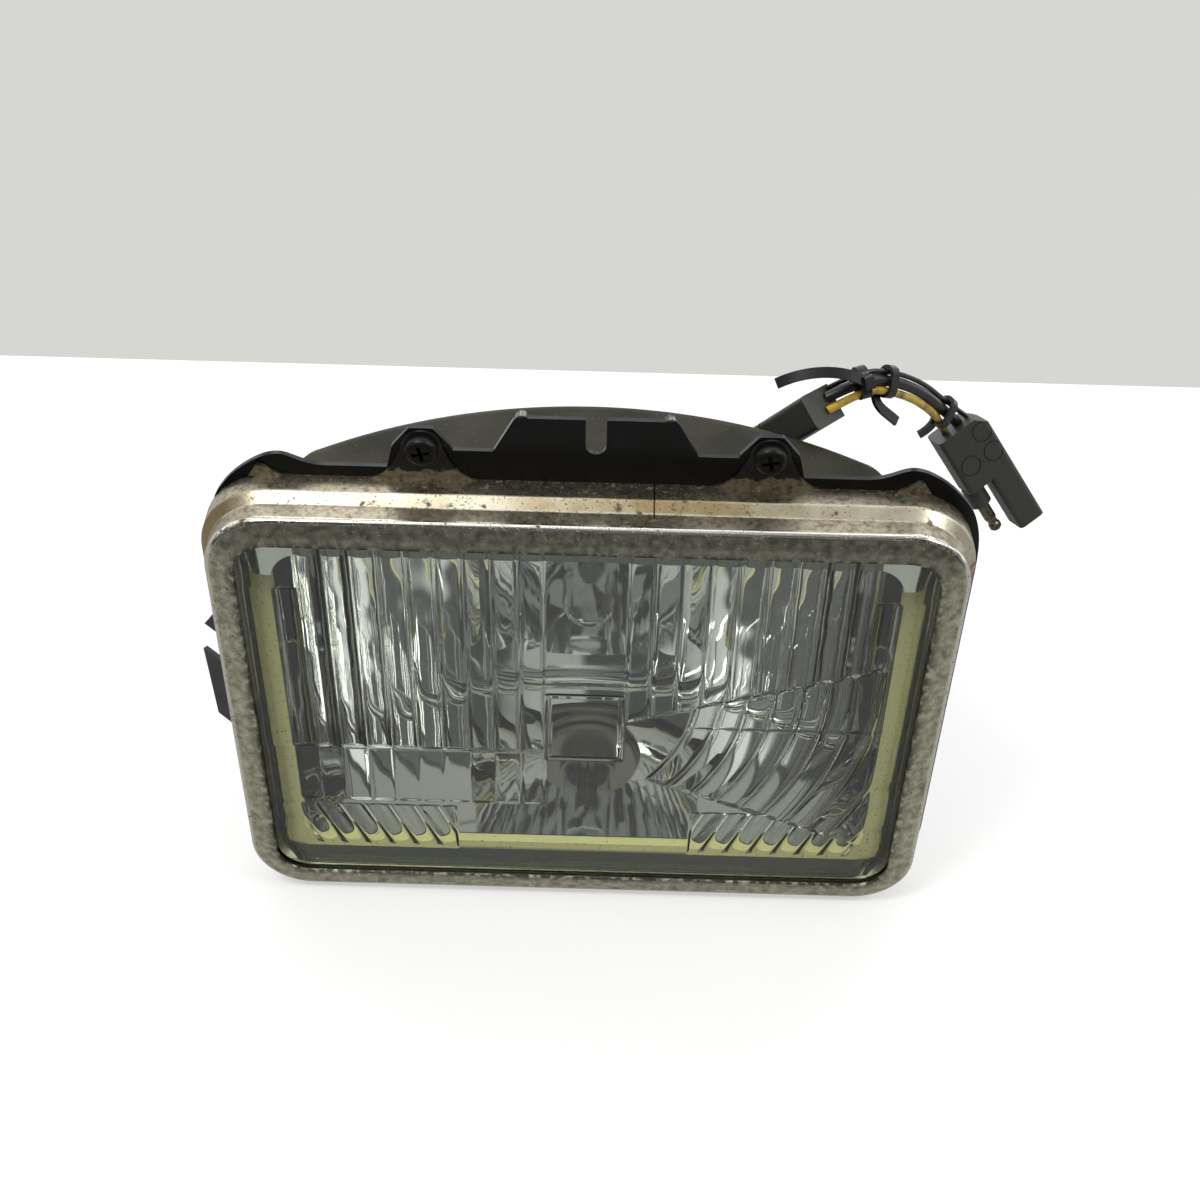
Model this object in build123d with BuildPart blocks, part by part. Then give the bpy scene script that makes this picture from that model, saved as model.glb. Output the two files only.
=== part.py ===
from build123d import *
from math import cos, pi, radians, sin, sqrt, tan
import os

# Rectangular halogen headlamp insert: prism lens and pressed reflector held by a bright
# retaining ring on a three-point mounting frame, with the bulb, its clip and plug behind
# and a short harness with two flat connectors.
# Millimetres. X to the right seen from the front, Y rearwards, Z up.
# Z = 0 is the surface that the lamp stands on. Depths below are counted from the ring's front lip;
# finish() then moves every part so that the origin is the centre of the lower pivot hole on the floor.

# ---- Lens ----
LENS_WIDTH = 200.0
LENS_HEIGHT = 142.0
LENS_CORNER = 14.0
LENS_FRONT = 1.5            # depth of the front face behind the ring's lip
LENS_GLASS = 3.6            # thickness of the face
LENS_SKIRT_WALL = 3.5
LENS_SKIRT_END = 10.0       # depth of the skirt's rear edge
LENS_EDGE_ROUND = 2.0
FLUTE_PITCH = 7.6
FLUTE_HEIGHT = 1.3
OPTIC_SIDE_MARGIN = 13.0    # lens edge to the fluted field
OPTIC_TOP_MARGIN = 9.0
CUT_OFF_DROP = 13.0         # left half of the beam cut-off, below the lens centre
CUT_OFF_RISE = 0.5          # start of the right half, above the lens centre
CUT_OFF_ANGLE = 17.5
CLEAR_PANEL_WIDTH = 22.8    # three flutes wide, so the field starts on a furrow
PANEL_FRAME_TOP = 10.9      # raised line round the clear panel's middle
PANEL_FRAME_DROP = 15.2
PANEL_FRAME_LINE = 0.8
PANEL_FRAME_HEIGHT = 0.4
PANEL_FRAME_ROUND = 2.0
SECTOR_FLOOR_DROP = 20.3    # kerb-side sector: its lower edge at the clear panel
SECTOR_FLOOR_ANGLE = 22.5
ARC_CENTRE_SIDE = -26.0     # centre of the sector's arched ridges, from the lens centre
ARC_CENTRE_RISE = 14.0
ARC_START_RADIUS = 57.9
ARC_COUNT = 8
FOOT_TOP = 38.0             # slanted ridges along the foot, below the lens centre
FOOT_LOW = 57.5
FOOT_LEFT_START = 39.0
FOOT_RIGHT_START = 33.0
FOOT_RIDGE_ANGLE = 23.0     # degrees from upright
FOOT_RIDGE_HEIGHT = 0.9

# ---- Retaining ring ----
RING_SHEET = 0.8
RING_GAP = 3.2              # lens edge to the ring's side wall
RING_LIP_OVERLAP = 4.0      # how far the lip covers the lens
RING_FACE_FALL = 1.8        # the front strip slopes back outwards
RING_NOSE_ROUND = 1.4
RING_STEP_START = 8.5
RING_STEP_END = 11.5
RING_FLARE = 2.5
RING_STEP_ROUND = 1.2
RING_DEPTH = 18.5
EAR_SPACING = 93.0
EAR_BASE_WIDTH = 35.0
EAR_RADIUS = 5.6
EAR_NECK = 7.8              # half width where the ear starts to round over
EAR_NECK_HEIGHT = 6.0
EAR_SCREW_HEIGHT = 10.5     # above the ring's top
LUG_WIDTH = 10.0            # small corner lugs on the rear edge
LUG_HEIGHT = 4.6
LUG_INSET = 19.0            # middle of a corner lug inside the ring's side
HOOK_WIDTH = 14.0
HOOK_SPACING = 104.0
HOOK_HEIGHT = 7.0

# ---- Reflector ----
REFLECTOR_SHEET = 0.9
MIRROR_MARGIN = 13.0        # lens edge to the mirror's opening
MIRROR_CORNER = 9.0
FLANGE_DEPTH = 12.0         # front face of the flange that carries the seal
GUTTER_GAP = 0.6            # lens edge to the gutter's wall
GUTTER_FRONT = 6.5
SHOULDER_DEPTH = 84.0       # rear wall on the centre line
SHOULDER_RADIUS = 143.0     # rear wall, seen from above
SHOULDER_ROUND = 6.0
FOCAL_LENGTH = 27.0
BOWL_VERTEX = 104.0
COLLAR_RADIUS = 23.0

# ---- Seal ----
SEAL_FRONT = 9.0
SEAL_INSET = 0.5            # bead behind the flange's inner edge

# ---- Mounting frame ----
FRAME_SHEET = 1.5
FRAME_SHIFT = 1.5           # plate, tab and ears sit this far right of the lens centre
FRAME_OVERHANG = 0.6        # frame side beyond the ring's rear edge
FRAME_TOP = 3.4             # outer stretches of the top edge above the ring
FRAME_MIDDLE_TOP = 9.5      # top edge between the ears
FRAME_WING_TOP = 6.8        # rounded corners
FRAME_WING_REACH = 85.0
FRAME_WING_RUN = 12.0       # width of the fall from a wing to the outer stretch
FRAME_FLANK_DROP = 28.8     # straight part of the side ends this far below the ring's top
FRAME_SHOULDER = 9.0        # corner bend, inside the frame's side
FRAME_INSET = 2.5           # frame opening inside the lens edge
FRAME_EAR_FOOT = 10.5       # half widths of the trapezoidal ears
FRAME_EAR_SHOULDER = 8.0
FRAME_EAR_CROWN = 3.2
FRAME_EAR_RISE = 6.0        # crown above the screw
FRAME_EAR_ROUND = 2.0
FRAME_CROWN_ROUND = 1.0
TAB_BASE_WIDTH = 56.0
TAB_TOP_WIDTH = 43.0
TAB_TOP = 20.6              # above the ring's top
TAB_ROUND = 1.8
SLOT_WIDTH = 5.6
SLOT_DEPTH = 11.1
SIDE_TAB_SWEEP = 41.0       # degrees, swept rearwards
SIDE_TAB_ROOT = 3.0         # bend line inside the ring's side
SIDE_TAB_TAPER = 2.0        # how much shorter the lower prong's foot is
SIDE_TAB_REACH = 18.0       # along the swept plate
SIDE_SLOT_WIDTH = 12.0
SIDE_SLOT_HEIGHT = 84.0     # slot centre above the floor
SIDE_SLOT_ROOT = 7.0        # along the swept plate
SIDE_PRONG_REACH = 15.0     # shorter upper prong
SIDE_PRONG_RISE = 8.0
SIDE_PRONG_TOP = 9.0        # reach of the upper prong's top corner
SIDE_TAB_LOW = 51.5
SIDE_TAB_HIGH = 108.0
LUG_FOOT_WIDTH = 52.0       # lower pivot lug, lying on the floor
LUG_FOOT_END = 62.0
LUG_HOLE_RADIUS = 4.25
LUG_HOLE_DEPTH = 50.0
LUG_FOOT_ROUND = 14.0
LUG_END_ROUND = 6.0
LUG_GUSSET_END = 40.0
LUG_GUSSET_HEIGHT = 13.0
LUG_GUSSET_TIP = 2.5

# ---- Screws and sheet nuts ----
SCREW_RADIUS = 2.5
SCREW_LENGTH = 6.4
SCREW_HEAD_RADIUS = 4.4
SCREW_HEAD_HEIGHT = 3.0
SCREW_HEAD_ROUND = 1.8
SCREW_POINT = 0.6
RECESS_WIDTH = 1.1
RECESS_SPAN = 5.0
RECESS_DEPTH = 1.7
RECESS_TURN = 12
RECESS_TAPER = 12
NUT_SHEET = 0.8
NUT_WIDTH = 10.0
NUT_HEIGHT = 7.2
NUT_BARREL_RADIUS = 3.4
NUT_BARREL_LENGTH = 2.0
SCREW_CLEARANCE = 0.4

# ---- Bulb, holder and clip ----
BULB_SEAT = 106.5           # reference plane of the bulb's flange
HOLDER_RADIUS = 30.0
HOLDER_SHEET = 1.2
BULB_BARREL_RADIUS = 19.0
BULB_CLEARANCE = 0.2
BULB_FLANGE_RADIUS = 21.5
BULB_FLANGE_SHEET = 1.0
BULB_TAB_RADIUS = 25.0
BULB_TAB_WIDTH = 9.0
BULB_TAB_ROOT = 2.0         # tab starts this far inside the flange's edge
BULB_BARREL_LENGTH = 9.0
BULB_BARREL_ROUND = 1.5
BULB_NECK = 6.0
BULB_NECK_WALL = 1.6
BULB_SHELL_RADIUS = 12.0
BULB_SHELL_LENGTH = 12.0
GLASS_RADIUS = 8.8
GLASS_WALL = 0.9
GLASS_LENGTH = 56.0         # from the seat to the tip
INSULATOR_RADIUS = 11.4
INSULATOR_LENGTH = 4.0
INSULATOR_CHAMFER = 0.8
BLADE_WIDTH = 8.0
BLADE_SHEET = 0.8
BLADE_LENGTH = 9.0
BLADE_OFFSET = 7.5
SUPPORT_OFFSET = 3.2
SUPPORT_RADIUS = 0.45
SHIELD_RADIUS = 4.2
SHIELD_LENGTH = 8.0
SHIELD_SHEET = 0.5
HIGH_FILAMENT = 23.0        # from the seat forwards
LOW_FILAMENT = 30.0
FILAMENT_LENGTH = 5.0
FILAMENT_RADIUS = 0.8
CLIP_WIRE = 0.8             # wire radius
CLIP_HALF_WIDTH = 17.6
CLIP_PIVOT_DROP = 26.5      # pivot below the bulb's axis
CLIP_TIP_RISE = 27.0
CLIP_STAND_OFF = 0.3
CLIP_BEARING_GAP = 0.06
CLIP_TIP_LENGTH = 7.0
CLIP_TIP_LIFT = 3.5
CLIP_BEND = 2.4
HINGE_SPACING = 20.0
HINGE_LENGTH = 6.0
HINGE_SINK = 0.1            # how deep a hinge barrel is let into the holder
CATCH_HEIGHT = 16.0         # above the bulb's axis
CATCH_WIDTH = 7.0
CATCH_REACH = 2.2
CATCH_LIP = 3.2

# ---- Bulb plug ----
PLUG_WIDTH = 29.0
PLUG_HEIGHT = 24.0
PLUG_LENGTH = 15.0
PLUG_CORNER = 4.0
PLUG_WALL_GAP = 0.3
PLUG_RIB = 1.0
PLUG_RIBS = 5
PLUG_RIB_PITCH = 3.3
BOOT_FOOT_RADIUS = 5.4
BOOT_LENGTH = 10.0
BOOT_WALL = 0.8
BOOT_GRIP = 3.0
BOOT_RINGS = 3
BOOT_RING_PITCH = 2.6
BOOT_RING_WIDTH = 1.2
BOOT_RING_STEP = 0.15       # each ring is this much smaller than the one before

# ---- Flat two-pole connectors ----
CONNECTOR_WIDTH = 17.6
CONNECTOR_THICKNESS = 11.0
CONNECTOR_BODY = 21.3
CONNECTOR_LENGTH = 42.4
CONNECTOR_ARM_WIDTH = 9.2
CONNECTOR_ROUND = 1.6
CONNECTOR_CHAMFER = 4.0
POLE_SPACING = 10.2
BOOT_RADIUS = 3.5
BOOT_END = 28.4
PIN_RADIUS = 2.0
PIN_END = 39.6
PIN_SHOULDER = 0.3          # full radius starts this far past the boot
PIN_NECK_RADIUS = 1.6
SOCKET_DEPTH = 13.0
SOCKET_SHEET = 0.35
SOCKET_CLEARANCE = 0.08
SOCKET_INSET = 1.0
PIN_TIP = 4.0               # groove to the pin's end
PIN_GROOVE = 1.0
PIN_TAPER = 0.8
PIN_POINT_RADIUS = 1.3
UPPER_LENGTH = 31.0
UPPER_CHAMFER = 5.0
GROOVE_PLACE = 21.4         # parting groove between the mated halves
GROOVE_WIDTH = 0.8
GROOVE_DEPTH = 0.6
DISC_RADIUS = 3.5
DISC_DEPTH = 0.3
DISC_LINE = 0.5
DISC_PLACES = [(5.0, -5.0), (5.0, -13.0), (-3.8, -12.6)]    # across, and from the wire end
LOWER_ORIGIN = (115.8, 103.9, 116.0)        # wire ends of the two connectors
UPPER_ORIGIN = (69.9, 74.9, 143.3)
LOWER_AIM = (0.571, -0.176, -0.800)         # from the wire end towards the poles
LOWER_ACROSS = (0.811, 0.386, 0.434)
UPPER_AIM = (-0.499, 0.412, -0.762)
UPPER_ACROSS = (0.698, 0.713, -0.072)

# ---- Wires ----
YELLOW_RADIUS = 1.25
BLACK_RADIUS = 1.7
THIN_RADIUS = 0.8
LEAD_RADIUS = 1.8
TIE_WIDTH = 3.2
TIE_SHEET = 1.0
TIE_SLACK = 0.1
TIE_HEAD_LENGTH = 4.2
TIE_HEAD_HEIGHT = 3.2
TIE_SEARCH = 400            # steps along a wire to find where it crosses a tie

# ---- Worked out from the sizes above ----
RING_OUT = RING_GAP + RING_SHEET
RING_TOP = LENS_HEIGHT / 2 + RING_OUT + RING_FLARE       # above the lamp's centre
MID_HEIGHT = RING_TOP                                    # the ring stands on the floor
RING_SIDE = LENS_WIDTH / 2 + RING_OUT + RING_FLARE
MIRROR_WIDTH = LENS_WIDTH - 2 * MIRROR_MARGIN
MIRROR_HEIGHT = LENS_HEIGHT - 2 * MIRROR_MARGIN
FLANGE_BACK = FLANGE_DEPTH + REFLECTOR_SHEET
GUTTER_OUT = GUTTER_GAP + REFLECTOR_SHEET
FRAME_FRONT = RING_DEPTH
FRAME_BACK = FRAME_FRONT + FRAME_SHEET
EAR_FRONT = RING_DEPTH - RING_SHEET
SCREW_LEVEL = RING_TOP + EAR_SCREW_HEIGHT
COLLAR_END = BULB_SEAT - HOLDER_SHEET
EAR_PLACES = [FRAME_SHIFT - EAR_SPACING / 2, FRAME_SHIFT + EAR_SPACING / 2]

OVERLAP = 1.0               # how far a cut runs past a face, or an added piece into its body

os.makedirs("parts", exist_ok=True)


def face_plane(depth):
    """Plane parallel to the lens at a depth; local x is X, local y is Z, extrude(-t) goes rearwards."""
    return Plane(origin=(0, depth, MID_HEIGHT), x_dir=(1, 0, 0), z_dir=(0, -1, 0))


def rim_path():
    """Closed path round the lens edge, starting at the middle of its top side."""
    half_w = LENS_WIDTH / 2
    half_h = LENS_HEIGHT / 2
    with BuildLine(face_plane(0)) as rim:
        FilletPolyline(
            (0, half_h), (half_w, half_h), (half_w, -half_h),
            (-half_w, -half_h), (-half_w, half_h), (0, half_h),
            radius=[0, LENS_CORNER, LENS_CORNER, LENS_CORNER, LENS_CORNER],
        )
    return rim.wire()


def rim_section():
    """Section plane at the start of the rim path: x is depth, y is distance outwards from the lens edge."""
    return Plane(origin=(0, 0, MID_HEIGHT + LENS_HEIGHT / 2), x_dir=(0, 1, 0), z_dir=(1, 0, 0))


def finish(builder, name):
    """Move a finished sub-part to the pivot hole's origin, label it and write it."""
    placed = builder.part.moved(Location((0, -LUG_HOLE_DEPTH, 0)))
    placed.label = name
    export_step(placed, f"parts/{name}.step")


# ---- Retaining ring: one pressed strip with two screw ears, corner lugs and two lower hooks ----
def ring_ear(centre):
    """Outline of one screw ear, with concave flanks that run into the strip."""
    root = RING_TOP - RING_SHEET / 2
    half = EAR_BASE_WIDTH / 2
    with BuildSketch() as outline:
        with BuildLine():
            foot = Line((centre - half, root), (centre + half, root))
            right = TangentArc(foot @ 1, (centre + EAR_NECK, root + EAR_NECK_HEIGHT), tangent=(-1, 0))
            left = TangentArc(foot @ 0, (centre - EAR_NECK, root + EAR_NECK_HEIGHT), tangent=(1, 0))
            crown = ThreePointArc(
                (centre + EAR_RADIUS, SCREW_LEVEL), (centre, SCREW_LEVEL + EAR_RADIUS),
                (centre - EAR_RADIUS, SCREW_LEVEL),
            )
            Line(right @ 1, crown @ 0)
            Line(left @ 1, crown @ 1)
        make_face()
        with Locations((centre, SCREW_LEVEL)):
            Circle(SCREW_RADIUS + SCREW_CLEARANCE, mode=Mode.SUBTRACT)
    return outline.sketch


def corner_lug(side):
    """Small triangular lug on the ring's rear edge near a top corner."""
    root = RING_TOP - RING_SHEET / 2
    middle = side * (RING_SIDE - LUG_INSET)
    with BuildSketch() as outline:
        with BuildLine():
            Polyline(
                (middle - LUG_WIDTH / 2, root), (middle + LUG_WIDTH / 2, root),
                (middle + side * LUG_WIDTH / 5, root + LUG_HEIGHT), close=True,
            )
        make_face()
    return outline.sketch


ring_tags = [ring_ear(centre) for centre in EAR_PLACES] + [corner_lug(side) for side in (-1, 1)]

with BuildPart() as bezel_ring:
    with BuildSketch(rim_section()):
        with BuildLine():
            FilletPolyline(
                (0, -RING_LIP_OVERLAP),
                (RING_FACE_FALL, RING_OUT),
                (RING_STEP_START, RING_OUT),
                (RING_STEP_END, RING_OUT + RING_FLARE),
                (RING_DEPTH, RING_OUT + RING_FLARE),
                radius=[RING_NOSE_ROUND, RING_STEP_ROUND, RING_STEP_ROUND],
            )
            offset(amount=RING_SHEET, side=Side.RIGHT)
        make_face()
    sweep(path=rim_path())
    with BuildSketch(face_plane(EAR_FRONT)):
        add(ring_tags)
    extrude(amount=-RING_SHEET)
    # the hooks run back under the frame's lower edge and turn up behind it
    for side in (-1, 1):
        with BuildSketch(Plane.YZ.offset(side * HOOK_SPACING / 2 - HOOK_WIDTH / 2)):
            with BuildLine():
                Polyline(
                    (EAR_FRONT, 0), (FRAME_BACK + RING_SHEET, 0), (FRAME_BACK + RING_SHEET, HOOK_HEIGHT),
                    (FRAME_BACK, HOOK_HEIGHT), (FRAME_BACK, RING_SHEET), (EAR_FRONT, RING_SHEET), close=True,
                )
            make_face()
        extrude(amount=HOOK_WIDTH)
finish(bezel_ring, "bezel_ring")


# ---- Lens: pressed glass with a skirt and a fluted inner face ----
def lens_outline(inset):
    """Rounded rectangle inside the lens edge."""
    with BuildSketch() as outline:
        RectangleRounded(LENS_WIDTH - 2 * inset, LENS_HEIGHT - 2 * inset, LENS_CORNER - inset)
    return outline.sketch


def ridge_radius(height):
    """Radius of a round ridge that is one pitch wide and this high."""
    return (FLUTE_PITCH ** 2 / 4 + height ** 2) / (2 * height)


def straight_ridges(height, level, turn):
    """Rods side by side behind the glass face, turned from upright about a level below the centre."""
    radius = ridge_radius(height)
    along = (sin(radians(turn)), 0, cos(radians(turn)))
    across = (cos(radians(turn)), 0, -sin(radians(turn)))
    origin = (0, LENS_BACK + height - radius, MID_HEIGHT - level)
    with BuildPart() as rods:
        with BuildSketch(Plane(origin=origin, x_dir=across, z_dir=along).offset(-LENS_HEIGHT)):
            with GridLocations(FLUTE_PITCH, 1, RIDGE_COUNT, 1):
                Circle(radius)
        extrude(amount=2 * LENS_HEIGHT)
    return rods.part


def arched_ridges():
    """Rings side by side behind the glass face, about the sector's arch centre."""
    radius = ridge_radius(FLUTE_HEIGHT)
    origin = (ARC_CENTRE_SIDE, 0, MID_HEIGHT + ARC_CENTRE_RISE)
    middle = ARC_START_RADIUS + ARC_COUNT * FLUTE_PITCH / 2
    with BuildPart() as rings:
        with BuildSketch(Plane(origin=origin, x_dir=(1, 0, 0), z_dir=(0, 0, 1))):
            with Locations((middle, LENS_BACK + FLUTE_HEIGHT - radius)):
                with GridLocations(FLUTE_PITCH, 1, ARC_COUNT, 1):
                    Circle(radius)
            with Locations((middle, LENS_BACK)):
                Rectangle(ARC_COUNT * FLUTE_PITCH, 2 * FLUTE_HEIGHT, mode=Mode.INTERSECT)
        revolve(axis=Axis(origin, (0, 1, 0)))
    return rings.part


def clipped(ridges, corners, height):
    """The part of some ridges that stands on a field of the glass, given by its corners."""
    with BuildPart() as field:
        with BuildSketch(face_plane(LENS_BACK)):
            with BuildLine():
                Polyline(*corners, close=True)
            make_face()
        extrude(amount=-height)
        add(ridges, mode=Mode.INTERSECT)
    return field.part


LENS_BACK = LENS_FRONT + LENS_GLASS
field_side = LENS_WIDTH / 2 - OPTIC_SIDE_MARGIN
field_top = LENS_HEIGHT / 2 - OPTIC_TOP_MARGIN
panel_side = CLEAR_PANEL_WIDTH / 2
field_run = field_side - panel_side
cut_off_end = CUT_OFF_RISE + field_run * tan(radians(CUT_OFF_ANGLE))
floor_slope = tan(radians(SECTOR_FLOOR_ANGLE))
floor_end = -SECTOR_FLOOR_DROP - field_run * floor_slope
foot_meets_floor = panel_side + (FOOT_TOP - SECTOR_FLOOR_DROP) / floor_slope
RIDGE_COUNT = 2 * int(field_side / FLUTE_PITCH) + 5      # odd, so that one ridge is on the centre line

# beam cut-off: level on the left, rising over the kerb-side sector on the right
left_field = [
    (-field_side, field_top), (-panel_side, field_top),
    (-panel_side, -CUT_OFF_DROP), (-field_side, -CUT_OFF_DROP),
]
right_field = [
    (panel_side, field_top), (field_side, field_top), (field_side, cut_off_end), (panel_side, CUT_OFF_RISE),
]
sector_field = [
    (panel_side, CUT_OFF_RISE), (field_side, cut_off_end),
    (field_side, floor_end), (panel_side, -SECTOR_FLOOR_DROP),
]
left_foot = [
    (-field_side, -FOOT_TOP), (-FOOT_LEFT_START, -FOOT_TOP),
    (-FOOT_LEFT_START, -FOOT_LOW), (-field_side, -FOOT_LOW),
]
right_foot = [
    (FOOT_RIGHT_START, -FOOT_TOP), (foot_meets_floor, -FOOT_TOP), (field_side, floor_end),
    (field_side, -FOOT_LOW), (FOOT_RIGHT_START, -FOOT_LOW),
]
upright = straight_ridges(FLUTE_HEIGHT, 0, 0)
lens_ridges = [
    clipped(upright, left_field, FLUTE_HEIGHT),
    clipped(upright, right_field, FLUTE_HEIGHT),
    clipped(arched_ridges(), sector_field, FLUTE_HEIGHT),
    clipped(straight_ridges(FOOT_RIDGE_HEIGHT, FOOT_TOP, -FOOT_RIDGE_ANGLE), left_foot, FOOT_RIDGE_HEIGHT),
    clipped(straight_ridges(FOOT_RIDGE_HEIGHT, FOOT_TOP, FOOT_RIDGE_ANGLE), right_foot, FOOT_RIDGE_HEIGHT),
]

with BuildPart() as lens:
    with BuildSketch(face_plane(LENS_FRONT)):
        add(lens_outline(0))
    extrude(amount=-(LENS_SKIRT_END - LENS_FRONT))
    fillet(lens.faces().sort_by(Axis.Y)[0].edges(), LENS_EDGE_ROUND)
    with BuildSketch(face_plane(LENS_BACK)):
        add(lens_outline(LENS_SKIRT_WALL))
    extrude(amount=-(LENS_SKIRT_END - LENS_BACK), mode=Mode.SUBTRACT)
    add(lens_ridges)
    # raised line round the middle of the clear panel
    with BuildSketch(face_plane(LENS_BACK)):
        with Locations((0, (PANEL_FRAME_TOP - PANEL_FRAME_DROP) / 2)):
            frame_height = PANEL_FRAME_TOP + PANEL_FRAME_DROP
            RectangleRounded(CLEAR_PANEL_WIDTH, frame_height, PANEL_FRAME_ROUND)
            RectangleRounded(
                CLEAR_PANEL_WIDTH - 2 * PANEL_FRAME_LINE, frame_height - 2 * PANEL_FRAME_LINE,
                PANEL_FRAME_ROUND - PANEL_FRAME_LINE, mode=Mode.SUBTRACT,
            )
    extrude(amount=-PANEL_FRAME_HEIGHT)
finish(lens, "lens")


# ---- Seal: the bead of sealant that holds the lens skirt on the reflector's flange ----
with BuildPart() as lens_seal:
    with BuildSketch(face_plane(SEAL_FRONT)):
        add(lens_outline(-GUTTER_GAP))
        RectangleRounded(
            MIRROR_WIDTH + 2 * SEAL_INSET, MIRROR_HEIGHT + 2 * SEAL_INSET, MIRROR_CORNER, mode=Mode.SUBTRACT,
        )
    extrude(amount=-(FLANGE_DEPTH - SEAL_FRONT))
    with BuildSketch(face_plane(SEAL_FRONT)):
        add(lens_outline(0))
        add(lens_outline(LENS_SKIRT_WALL), mode=Mode.SUBTRACT)
    extrude(amount=-(LENS_SKIRT_END - SEAL_FRONT), mode=Mode.SUBTRACT)
finish(lens_seal, "lens_seal")


# ---- Reflector: steel pressing with a flat roof and floor, curved rear wall, bowl and collar ----
def reflector_form(inset, front):
    """Solid that fills the reflector, moved inwards by the inset."""
    bowl_start = SHOULDER_DEPTH - SHOULDER_ROUND
    bowl_rim = sqrt(4 * FOCAL_LENGTH * (BOWL_VERTEX - bowl_start))
    vertex = BOWL_VERTEX - inset
    with BuildPart() as form:
        with BuildSketch(face_plane(front)):
            RectangleRounded(
                MIRROR_WIDTH + 2 * (REFLECTOR_SHEET - inset), MIRROR_HEIGHT + 2 * (REFLECTOR_SHEET - inset),
                MIRROR_CORNER - inset,
            )
        extrude(amount=-(SHOULDER_DEPTH - inset - front))
        with BuildSketch(Plane.XY):
            with Locations((0, SHOULDER_DEPTH - SHOULDER_RADIUS)):
                Circle(SHOULDER_RADIUS - inset)
        extrude(amount=2 * MID_HEIGHT, mode=Mode.INTERSECT)
        rear = form.faces().filter_by(GeomType.CYLINDER).sort_by(Axis.Y)[-1]
        fillet(rear.edges(), SHOULDER_ROUND - inset)
        with BuildSketch(Plane(origin=(0, 0, MID_HEIGHT), x_dir=(0, 1, 0), z_dir=(1, 0, 0))):
            with BuildLine():
                wall = Bezier((bowl_start - inset, bowl_rim), (vertex, bowl_rim / 2), (vertex, 0))
                Polyline(wall @ 1, (bowl_start - inset, 0), wall @ 0)
            make_face()
        revolve(axis=Axis((0, 0, MID_HEIGHT), (0, 1, 0)))
    return form.part


mirror_void = reflector_form(REFLECTOR_SHEET, FLANGE_DEPTH - OVERLAP)
bulb_hole = BULB_BARREL_RADIUS + BULB_CLEARANCE

with BuildPart() as reflector:
    add(reflector_form(0, FLANGE_DEPTH))
    # flange and gutter wall round the lens edge
    with BuildSketch(face_plane(FLANGE_DEPTH)):
        add(lens_outline(-GUTTER_OUT))
    extrude(amount=-REFLECTOR_SHEET)
    with BuildSketch(face_plane(GUTTER_FRONT)):
        add(lens_outline(-GUTTER_OUT))
        add(lens_outline(-GUTTER_GAP), mode=Mode.SUBTRACT)
    extrude(amount=-(FLANGE_BACK - GUTTER_FRONT))
    with BuildSketch(face_plane(SHOULDER_DEPTH)):
        Circle(COLLAR_RADIUS)
    extrude(amount=-(COLLAR_END - SHOULDER_DEPTH))
    add(mirror_void, mode=Mode.SUBTRACT)
    with BuildSketch(face_plane(SHOULDER_DEPTH)):
        Circle(bulb_hole)
    extrude(amount=-(COLLAR_END - SHOULDER_DEPTH), mode=Mode.SUBTRACT)
finish(reflector, "reflector")


# ---- Mounting frame: pressed plate with ears, slotted top and side tabs and the lower pivot lug ----
def frame_plate_outline():
    """Outer outline of the plate with its raised corners, without ears and tabs."""
    side = RING_SIDE + FRAME_OVERHANG
    bottom = RING_SHEET - RING_TOP
    corner = LENS_CORNER + RING_OUT
    outer = RING_TOP + FRAME_TOP
    wing = RING_TOP + FRAME_WING_TOP
    with BuildSketch() as outline:
        with BuildLine():
            floor_line = Line((0, bottom), (side - corner, bottom))
            turn = RadiusArc(floor_line @ 1, (side, bottom + corner), -corner)
            flank = Line(turn @ 1, (side, RING_TOP - FRAME_FLANK_DROP))
            shoulder = Spline(
                flank @ 1, (side - FRAME_SHOULDER, RING_TOP), (FRAME_WING_REACH, wing),
                (FRAME_WING_REACH - FRAME_WING_RUN, outer), tangents=[(0, 1), (-1, 0)],
            )
            edge = Line(shoulder @ 1, (EAR_SPACING / 2, outer))
            step = Line(edge @ 1, (EAR_SPACING / 2, RING_TOP + FRAME_MIDDLE_TOP))
            middle = Line(step @ 1, (0, RING_TOP + FRAME_MIDDLE_TOP))
            Line(middle @ 1, floor_line @ 0)
        make_face()
        mirror(about=Plane.YZ)
    return outline.sketch


def frame_ear(centre):
    """Trapezoidal ear behind a ring ear."""
    crown = SCREW_LEVEL + FRAME_EAR_RISE
    with BuildSketch() as outline:
        with BuildLine():
            FilletPolyline(
                (centre - FRAME_EAR_FOOT, RING_TOP), (centre + FRAME_EAR_FOOT, RING_TOP),
                (centre + FRAME_EAR_SHOULDER, SCREW_LEVEL), (centre + FRAME_EAR_CROWN, crown),
                (centre - FRAME_EAR_CROWN, crown), (centre - FRAME_EAR_SHOULDER, SCREW_LEVEL),
                close=True,
                radius=[0, 0, FRAME_EAR_ROUND, FRAME_CROWN_ROUND, FRAME_CROWN_ROUND, FRAME_EAR_ROUND],
            )
        make_face()
    return outline.sketch


def top_tab():
    """Top centre tab that takes the vertical aim screw."""
    root = RING_TOP + FRAME_MIDDLE_TOP - OVERLAP
    top = RING_TOP + TAB_TOP
    with BuildSketch() as outline:
        with BuildLine():
            FilletPolyline(
                (-TAB_BASE_WIDTH / 2, root), (TAB_BASE_WIDTH / 2, root),
                (TAB_TOP_WIDTH / 2, top), (-TAB_TOP_WIDTH / 2, top),
                close=True, radius=[0, 0, TAB_ROUND, TAB_ROUND],
            )
        make_face()
    return outline.sketch


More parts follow.
